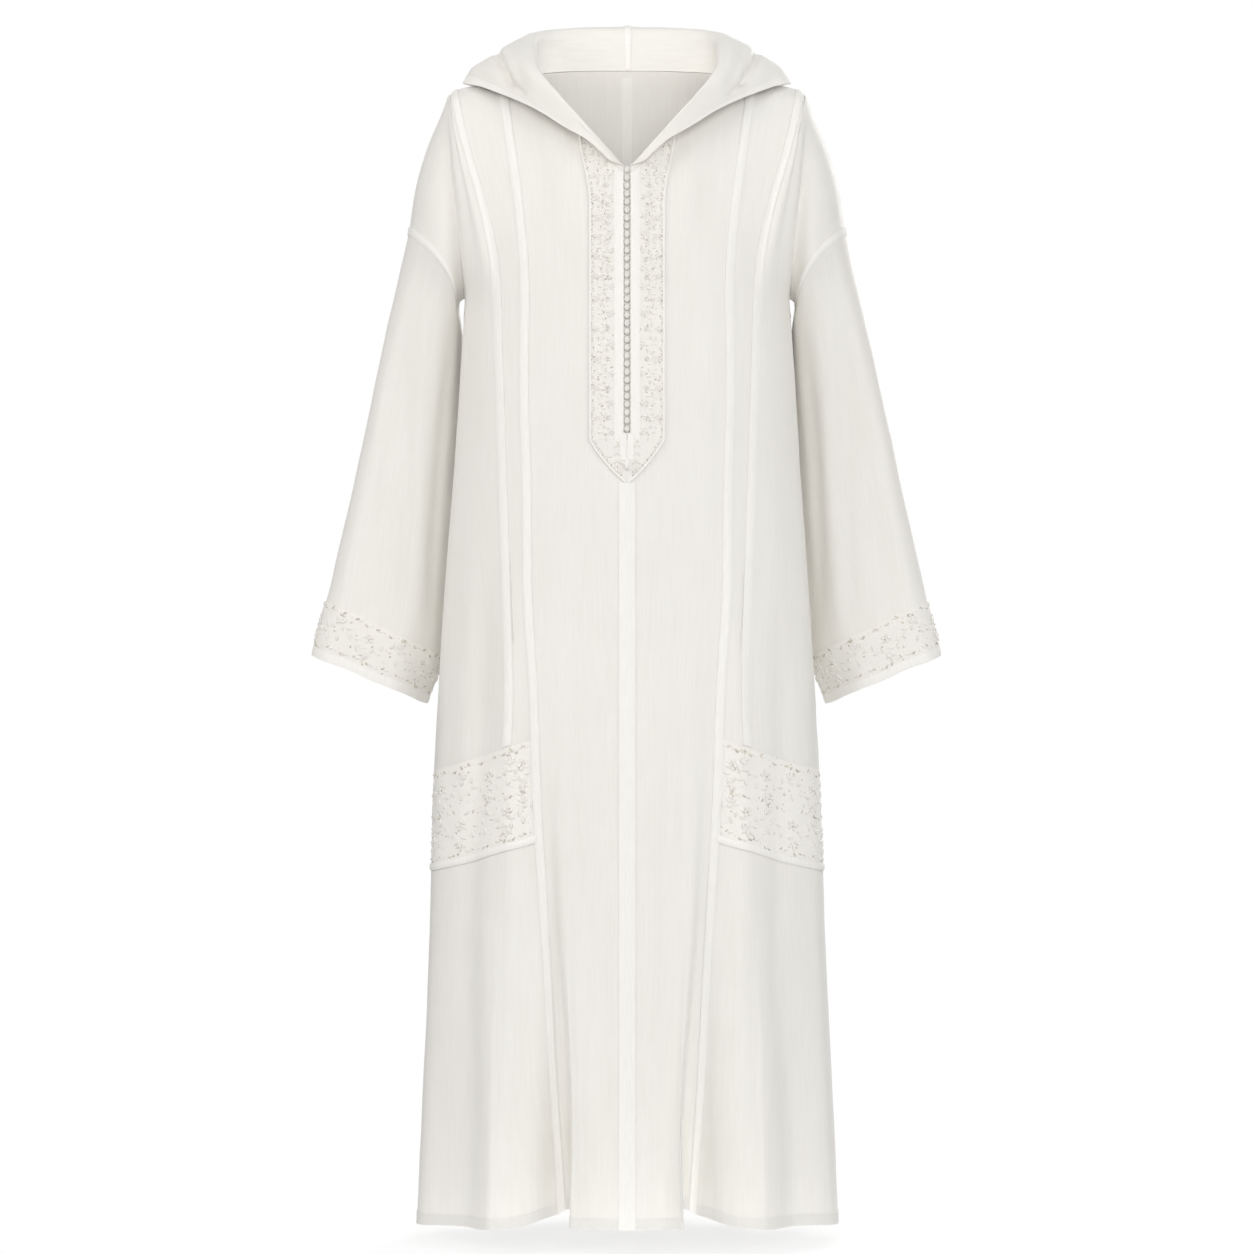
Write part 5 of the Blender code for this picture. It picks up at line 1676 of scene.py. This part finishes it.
class Band:
    """Embroidery on one band: marks for every small shape, in the plane of the band.

    A place is (along, up) in metres. Lengthwise bands run down the robe, the others round it.
    """

    def __init__(self, patch, lengthwise=False, inside=None, seed=1):
        u, v = (patch.columns[0], patch.columns[-1]), (patch.rows[0], patch.rows[-1])
        self.patch, self.lengthwise, self.inside = patch, lengthwise, inside
        self.along, self.up = (v, u) if lengthwise else (u, v)
        self.random = np.random.default_rng(seed)
        self.marks = {}

    def mark(self, kind, place, heading, size):
        """Adds a mark, unless it lies off the band."""
        (low, high), (near, far) = self.along, self.up
        on_band = low <= place[0] <= high and near <= place[1] <= far
        if on_band and (self.inside is None or self.inside(*place)):
            self.marks.setdefault(kind, []).append((*place, heading, *size))

    def jitter(self, amount):
        return float(self.random.uniform(-amount, amount))

    def sewn(self, kind):
        """Points, directions, normals and sizes of all the marks of one kind."""
        marks = np.array(self.marks[kind])
        u, v = (marks[:, 1], marks[:, 0]) if self.lengthwise else (marks[:, 0], marks[:, 1])
        points, normals, across, down = self.patch.at(u, v, -SUNK)
        first, second = (down, across) if self.lengthwise else (across, down)
        heading = marks[:, 2:3]
        return points, first * np.cos(heading) + second * np.sin(heading), normals, marks[:, 3:]


def pointing(heading):
    return np.array([math.cos(heading), math.sin(heading)])


def sew_stem(band, line):
    """Stem stitches along a line. Returns its places and headings."""
    line = evenly(line, STEM_STEP)
    steps = np.diff(line, axis=0)
    headings = np.arctan2(steps[:, 1], steps[:, 0])
    for place, heading in zip(line[:-1], headings):
        band.mark("stem", place, heading + STEM_LEAN, STEM)
    return line[:-1], headings


def sew_leaf(band, place, heading, length, slim=0.4):
    band.mark("leaf", place, heading, (length, length * slim, LEAF_HEIGHT))


def sew_flower(band, place, radius, petals=5, turn=0.0):
    """Petals round a bead."""
    for k in range(petals):
        heading = turn + 2 * math.pi * k / petals
        base = np.array(place) + 0.22 * radius * pointing(heading)
        sew_leaf(band, base, heading, 0.8 * radius, 0.72)
    band.mark("bead", place, turn, FLOWER_BEAD)


def sew_curl(band, start, heading, size, bend):
    """A tendril that rolls up, with a bead at its end. bend is 1 or -1."""
    line, place = [start], np.array(start, dtype=float)
    for k in range(CURL_STEPS):
        heading += bend * (0.1 + 0.34 * k / CURL_STEPS)
        place = place + size * (1.15 - k / CURL_STEPS) / 5 * pointing(heading)
        line.append(tuple(place))
    sew_stem(band, line)
    band.mark("pearl", line[-1], 0.0, PEARL)


def sew_scroll(band, low, high, pitch, leaf, phase=0.0):
    """A wavy stem with a flower in every second bend, curls in the others and leaves between."""
    start, end = band.along
    height, middle = high - low, 0.5 * (low + high)
    waves = max(1, round((end - start) / pitch))
    pitch = (end - start) / waves

    def stem_at(along):
        return middle + 0.24 * height * np.sin(2 * math.pi * (along - start) / pitch + phase)

    at = np.linspace(start, end, waves * 30 + 1)
    line, headings = sew_stem(band, np.stack([at, stem_at(at)], axis=1))
    for bend in range(2 * waves + 1):
        crest = start + (0.5 * (bend + 0.5) - phase / (2 * math.pi)) * pitch
        side = -1.0 if bend % 2 else 1.0
        inner = (crest, stem_at(crest) - side * 0.42 * height)
        if bend % 2:
            sew_curl(band, (crest - 0.25 * pitch, float(stem_at(crest - 0.25 * pitch))),
                     side * -0.2, 0.26 * height, -side)
            sew_leaf(band, (crest, inner[1] + side * 0.1 * height), -side * 1.35, leaf * 0.8)
        else:
            sew_flower(band, inner, 0.17 * height, 5, 0.3 * bend)
        for fan in (-0.75, 0.0, 0.75):
            sew_leaf(band, (crest, float(stem_at(crest)) + side * 0.0012),
                     side * (0.5 * math.pi + fan), leaf * (1.0 if fan == 0.0 else 0.85))
        band.mark("bead", (crest, stem_at(crest) + side * (leaf + 0.002)),
                  0.6 * side + band.jitter(0.6), (0.5 * leaf, 0.25 * leaf, 0.0017))
    every = max(3, round(0.62 * leaf / STEM_STEP))
    for count, k in enumerate(range(2, len(line) - 1, every)):
        side = 1.0 if count % 2 else -1.0
        sew_leaf(band, line[k], headings[k] + side * 0.85, leaf * 0.72)
        if count % 3 == 0:
            heading = headings[k] - side * 0.9
            band.mark("bead", line[k] + 0.85 * leaf * pointing(heading), heading, SMALL_BEAD)


def sew_edge(band, up, pitch, size=LONG_BEAD, lean=0.6):
    """A row of slanting long beads with a pearl between, near an edge of the band."""
    start, end = band.along
    count = max(1, round((end - start) / pitch))
    for k in range(count):
        along = start + (k + 0.5) * (end - start) / count + band.jitter(0.12 * pitch)
        lift = band.jitter(0.1 * pitch)
        turn = (lean if k % 2 else -lean) + band.jitter(0.3)
        band.mark("bead", (along, up + lift), turn, size)
        sew_leaf(band, (along + 0.2 * pitch, up + lift), turn * 0.5, 0.42 * pitch, 0.42)
        # The white pearl beside each bead is partly a bead and partly its painted highlight
        band.mark("pearl", (along - 0.28 * pitch, up - lift), 0.0, PEARL)


def sew_filling(band, spacing, share_of_beads):
    """Knots, and a few small beads, scattered over the ground of the band."""
    (start, end), (low, high) = band.along, band.up
    for along in np.arange(start + 0.5 * spacing, end, spacing):
        for up in np.arange(low + 0.5 * spacing, high, spacing):
            place = (along + band.jitter(0.35 * spacing), up + band.jitter(0.35 * spacing))
            if band.random.random() < share_of_beads:
                band.mark("bead", place, band.jitter(1.5), GROUND_BEAD)
            else:
                band.mark("knot", place, 0.0, KNOT)


def pocket_patch(half):
    """The pocket band's own surface, clear of the tape beside it and the piping below."""
    net = half.nets["front"]
    rows = slice(level(net, BAND_TOP_Z), level(net, BAND_FOOT_Z) + 1)
    return Patch.of_net(half, "front", rows,
                        slice(net.column_of[PRINCESS + 1], net.column_of[SIDE] + 1))


def pocket_work(patch, seed):
    """Two scrolls, one above the other, with bead rows along the top, middle and foot."""
    band = Band(patch, seed=seed)
    (top, foot), inset = band.up, 0.008
    middle = 0.5 * (top + foot)
    sew_stem(band, [(band.along[0], top + 0.0005), (band.along[1], top + 0.0005)])
    sew_edge(band, top + inset, pitch=0.0125)
    sew_scroll(band, top + inset + 0.004, middle, pitch=0.062, leaf=0.0115)
    sew_edge(band, middle + 0.001, pitch=0.021, size=MIDDLE_BEAD, lean=0.9)
    sew_scroll(band, middle + 0.003, foot - 0.012, pitch=0.062, leaf=0.0115, phase=math.pi)
    sew_edge(band, foot - 0.0095, pitch=0.017, size=FOOT_BEAD)
    sew_filling(band, spacing=0.0072, share_of_beads=0.05)
    return band


def cuff_work(patch, seed):
    """One scroll round the cuff between two rows of beads."""
    band = Band(patch, seed=seed)
    top, foot = band.up
    sew_edge(band, top + 0.0045, pitch=0.013)
    sew_scroll(band, top + 0.007, foot - 0.007, pitch=0.064, leaf=0.0105)
    sew_edge(band, foot - 0.005, pitch=0.015, size=MIDDLE_BEAD)
    sew_filling(band, spacing=0.007, share_of_beads=0.06)
    return band


def placket_work(patch, seed):
    """A small close scroll down the band, with a line of fine beads along its outer edge."""
    band = Band(patch, lengthwise=True, seed=seed)
    near, far = band.up
    sew_edge(band, far - 0.0032, pitch=0.009, size=FINE_BEAD)
    sew_scroll(band, near + 0.001, far - 0.005, pitch=0.034, leaf=0.0068)
    for up in (far - 0.0008, near + 0.001):
        sew_stem(band, [(band.along[0], up), (band.along[1], up)])
    sew_filling(band, spacing=0.0046, share_of_beads=0.05)
    return band


def tip_work(patch, seed):
    """Leaves and beads that close in to the point of the placket."""
    def inside(along, up):
        return up < patch.columns[-1] * float(tip_share(patch, along)) - 0.0012

    band = Band(patch, lengthwise=True, inside=inside, seed=seed)
    start, end = band.along
    edge = np.array([(along, patch.columns[-1] * float(tip_share(patch, along)) - 0.0016)
                     for along in np.linspace(start, end - 0.003, 24)])
    sew_stem(band, edge)
    for place in edge[2:23:3]:
        sew_leaf(band, place - np.array([0.0, 0.002]), 2.6, 0.007)
        band.mark("bead", place - np.array([0.0, 0.0045]), 0.8, SMALL_BEAD)
    for k in range(4):
        sew_leaf(band, (start + 0.004 + 0.01 * k, 0.011), 0.75, 0.008)
        sew_leaf(band, (start + 0.006 + 0.01 * k, 0.011), -0.9, 0.006)
    sew_filling(band, spacing=0.0046, share_of_beads=0.07)
    return band


def make_embroidery(half, tree, shapes, bands):
    """Sews all the bands of one side: a piece for each band and kind of mark."""
    for place, band in bands.items():
        for kind, (shape, finish, name) in MARKS.items():
            if kind in band.marks:
                repeat(tree, half.named(f"{place}_{name}"), shapes[shape], band.sewn(kind), finish)


# Knotted buttons, their loops, and where the facing strips end
BUTTON_LENGTH = 1.17  # half length of a ball for each unit of its radius
BUTTON_RINGS, BUTTON_SIDES = 9, 14
BUTTON_FURROW = 0.045
LOOP_CORD = (0.0062, 0.0019, 0.0019)
LOOP_APART = 0.0019
LOOP_START = (0.003, 0.0006)  # how far beside and behind the button's middle a loop starts
LOOP_BACK = 0.3  # how far back it runs, for each metre sideways
SLIT_TAPE_HALF = 0.0082
SLIT_TAPE_INNER = 0.0006
SLIT_TAPE_FOOT = -0.47
SLIT_TAPE_CROWN = 0.0006
SLIT_KNOT = (0.015, 0.012, 0.0075)
KNOT_Z = -0.476
KNOT_OUT = 0.0032
UNDERLAP_HALF = 0.007
UNDERLAP_TOP = -0.1245
UNDERLAP_DEPTH = 0.0032  # its back lies this far behind the slit's edges
OUTWARDS, DOWN = (0.0, -1.0, 0.0), (0.0, 0.0, -1.0)


def slit_line(halves):
    """Heights down the slit and how far forward its middle lies there."""
    edges = [half.points[half.nets["front"].ids[:, half.nets["front"].column_of[SLIT]]]
             for half in halves]
    middle = 0.5 * (edges[0] + edges[1])[::-1]
    return middle[:, 2], middle[:, 1]


def ball_button():
    """A knotted ball along X, longer than it is wide, its cords a little proud of each other."""
    points, faces = [], []
    for i in range(1, BUTTON_RINGS):
        tilt = math.pi * i / BUTTON_RINGS
        for k in range(BUTTON_SIDES):
            turn = 2 * math.pi * k / BUTTON_SIDES
            furrow = 1 - BUTTON_FURROW * (abs(math.sin(2.0 * tilt + 1.5 * turn))
                                          + abs(math.sin(2.0 * tilt - 1.5 * turn)))
            radius = math.sin(tilt) ** 0.75 * furrow
            points.append((-BUTTON_LENGTH * math.cos(tilt) * furrow, radius * math.cos(turn),
                           radius * math.sin(turn)))
    last = (BUTTON_RINGS - 2) * BUTTON_SIDES
    for low in range(0, last, BUTTON_SIDES):
        for k in range(BUTTON_SIDES):
            after = (k + 1) % BUTTON_SIDES
            high = low + BUTTON_SIDES
            faces.append([low + k, low + after, high + after, high + k])
    faces.append(list(range(BUTTON_SIDES))[::-1])
    faces.append([last + k for k in range(BUTTON_SIDES)])
    return make_shape("ball_button", points, faces)


def make_buttons(halves, tree, shapes):
    """The closed row of ball buttons, each held by a cord loop on either side."""
    z = FIRST_BUTTON_Z - BUTTON_PITCH * np.arange(BUTTON_COUNT)
    middles = np.stack([np.zeros(BUTTON_COUNT), np.interp(z, *slit_line(halves)), z], axis=1)
    each = (BUTTON_COUNT, 1)
    marks = (middles, np.tile(DOWN, each), np.tile(OUTWARDS, each), np.ones((BUTTON_COUNT, 3)))
    repeat(tree, "button_row", ball_button(), marks, "cord", BUTTON_RADIUS, stands=True)
    starts, along = [], []
    beside, behind = LOOP_START
    for side in (-1.0, 1.0):
        for height in (-LOOP_APART, LOOP_APART):
            starts.append(middles[1:] + (side * beside, behind, height))
            along.append(np.tile((side, LOOP_BACK, 0.0), (BUTTON_COUNT - 1, 1)))
    starts, along = np.concatenate(starts), np.concatenate(along)
    each = (len(starts), 1)
    # The loops' dark brown colour is painted shade in the gaps between the balls
    repeat(tree, "button_loops", shapes["stitch"],
           (starts, along, np.tile(OUTWARDS, each), np.tile(LOOP_CORD, each)), "loop")


def make_underlap(halves):
    """The strip of cloth behind the slit, which shows between the buttons."""
    across = UNDERLAP_HALF * np.linspace(-1.0, 1.0, 5)
    down = np.linspace(UNDERLAP_TOP, SLIT_END_Z, 60)
    x, z = np.meshgrid(across, down)
    y = np.interp(z, *slit_line(halves)) + UNDERLAP_DEPTH
    net_piece(None, "placket_underlap", np.stack([x, y, z], axis=-1), across, -down, "cloth",
              TAPE, stands=False)


def make_slit_end(halves, tree, shapes):
    """The slit's last stretch: two close tapes below the buttons, and the knot that ends them."""
    last_button = FIRST_BUTTON_Z - BUTTON_PITCH * (BUTTON_COUNT - 0.5)
    for half in halves:
        net = half.nets["front"]
        rows = slice(level(net, SLIT_END_Z) - 4, level(net, PLACKET_TIP_Z) + 1)
        patch = Patch.of_net(half, "front", rows, slice(0, net.column_of[FACING] + 1))
        ends = np.interp((last_button, SLIT_TAPE_FOOT), patch.points[::-1, 0, 2], patch.rows[::-1])
        down = np.linspace(*ends, 12)
        share = np.linspace(0.0, 1.0, 7)
        across = np.linspace(SLIT_TAPE_INNER, SLIT_TAPE_HALF, 7)
        u, v = np.meshgrid(across, down)
        crown = SLIT_TAPE_CROWN * np.sin(np.pi * share) ** 0.5
        points = patch.at(u, v, PLACKET_LIFT + BAND_CLOTH + crown[None, :, None])[0]
        net_piece(half, "slit_end_tape", points, across, down, "tape", TAPE, stands=False)
    place = (0.0, np.interp(KNOT_Z, *slit_line(halves)) - KNOT_OUT, KNOT_Z)
    repeat(tree, "slit_knot", shapes["bead"], ([place], [DOWN], [OUTWARDS], [SLIT_KNOT]), "tape")


# Topstitching: length, width and height of a stitch, and the step from one to the next
TOPSTITCH = (0.0024, 0.0006, 0.0005)
TOPSTITCH_STEP = 0.0031
TAPE_INSET = 0.0011  # how far inside a tape's edge the stitching runs
HEM_TURN = 0.0135  # height of the turned-up hem
HEM_STEP = 0.0006  # the turn-up stands proud of the cloth by this much
HEM_ZONE = 0.04  # the part of the skirt that its surface is taken from


def stitch_line(patch, u, v):
    """Marks for stitches along a line of places on a surface."""
    line = evenly(np.stack([u, v], axis=1), TOPSTITCH_STEP)
    points, normals, _, _ = patch.at(line[:, 0], line[:, 1])
    along = np.gradient(points, axis=0)
    return points, along, normals, np.tile(TOPSTITCH, (len(points), 1))


def tape_stitching(patch, lengthwise=True):
    """Two lines of stitches, just inside both long edges of a tape."""
    across, line = patch.columns, patch.rows
    if not lengthwise:
        across, line = line, across
    marks = []
    for place in (across[0] + TAPE_INSET, across[-1] - TAPE_INSET):
        edge = np.full(len(line), place)
        marks.append(stitch_line(patch, *((edge, line) if lengthwise else (line, edge))))
    return marks


def make_hem(half):
    """The skirt's turned-up hem, front and back, a second layer. Returns its stitches' marks."""
    marks = []
    for name in ("front", "back"):
        net = half.nets[name]
        start = int(np.searchsorted(net.rows, net.rows[-1] - HEM_ZONE))
        patch = Patch.of_net(half, name, slice(start, None), slice(None))
        down = patch.rows[-1] - HEM_TURN * np.array([1.0, 0.96, 0.5, 0.0])
        u, v = np.meshgrid(patch.columns, down)
        points, normals, _, _ = patch.at(u, v, HEM_LIFT)
        # Its darker satin is painted shade, against the floor's light on the hem
        net_piece(half, f"hem_{name}", points, patch.columns, down, "hem", HEM_STEP, stands=False)
        seam = Patch(points + normals * HEM_STEP, normals, patch.columns, down)
        marks.append(stitch_line(seam, patch.columns,
                                 np.full(len(patch.columns), down[0] + TAPE_INSET)))
    return marks


def sew_stitches(half, tree, shapes, marks):
    """One piece with all the topstitching of a side."""
    joined = tuple(np.concatenate([mark[k] for mark in marks]) for k in range(4))
    repeat(tree, half.named("topstitching"), shapes["grain"], joined, "tape")


def make_side(half, tree, shapes):
    """All the pieces of one side of the robe but its hood."""
    for name, cells in cell_masks(half).items():
        cut_panel(half, name, cells, "ground" if name == "pocket_band" else "cloth")
    stitching = make_tapes(half) + make_hem(half)
    cuff_hem, cuff_band = make_cuffs(half)
    stitching += tape_stitching(cuff_hem, lengthwise=False)
    seed = SIDE_SEED + half.side
    bands = {
        "pocket": pocket_work(pocket_patch(half), seed),
        "cuff": cuff_work(cuff_band, seed + 20),
        "placket": placket_work(make_placket(half), seed + 40),
        "tip": tip_work(make_placket_tip(half), seed + 60),
    }
    make_placket_cord(half)
    make_embroidery(half, tree, shapes, bands)
    sew_stitches(half, tree, shapes, stitching)


def make_robe():
    """Every piece of the robe, and what its cloth ones are cut from."""
    make_finishes()
    tree, shapes = repeat_tree(), make_shapes()
    halves, hoods = [Half(1), Half(-1)], []
    for half in halves:
        make_side(half, tree, shapes)
        hoods.append(make_hood(half))
        make_hood_hem(half, hoods[-1])
    make_front_tape(halves)
    make_back_tapes(halves)
    make_hood_seam(hoods)
    make_buttons(halves, tree, shapes)
    make_underlap(halves)
    make_slit_end(halves, tree, shapes)


make_robe()
make_studio()
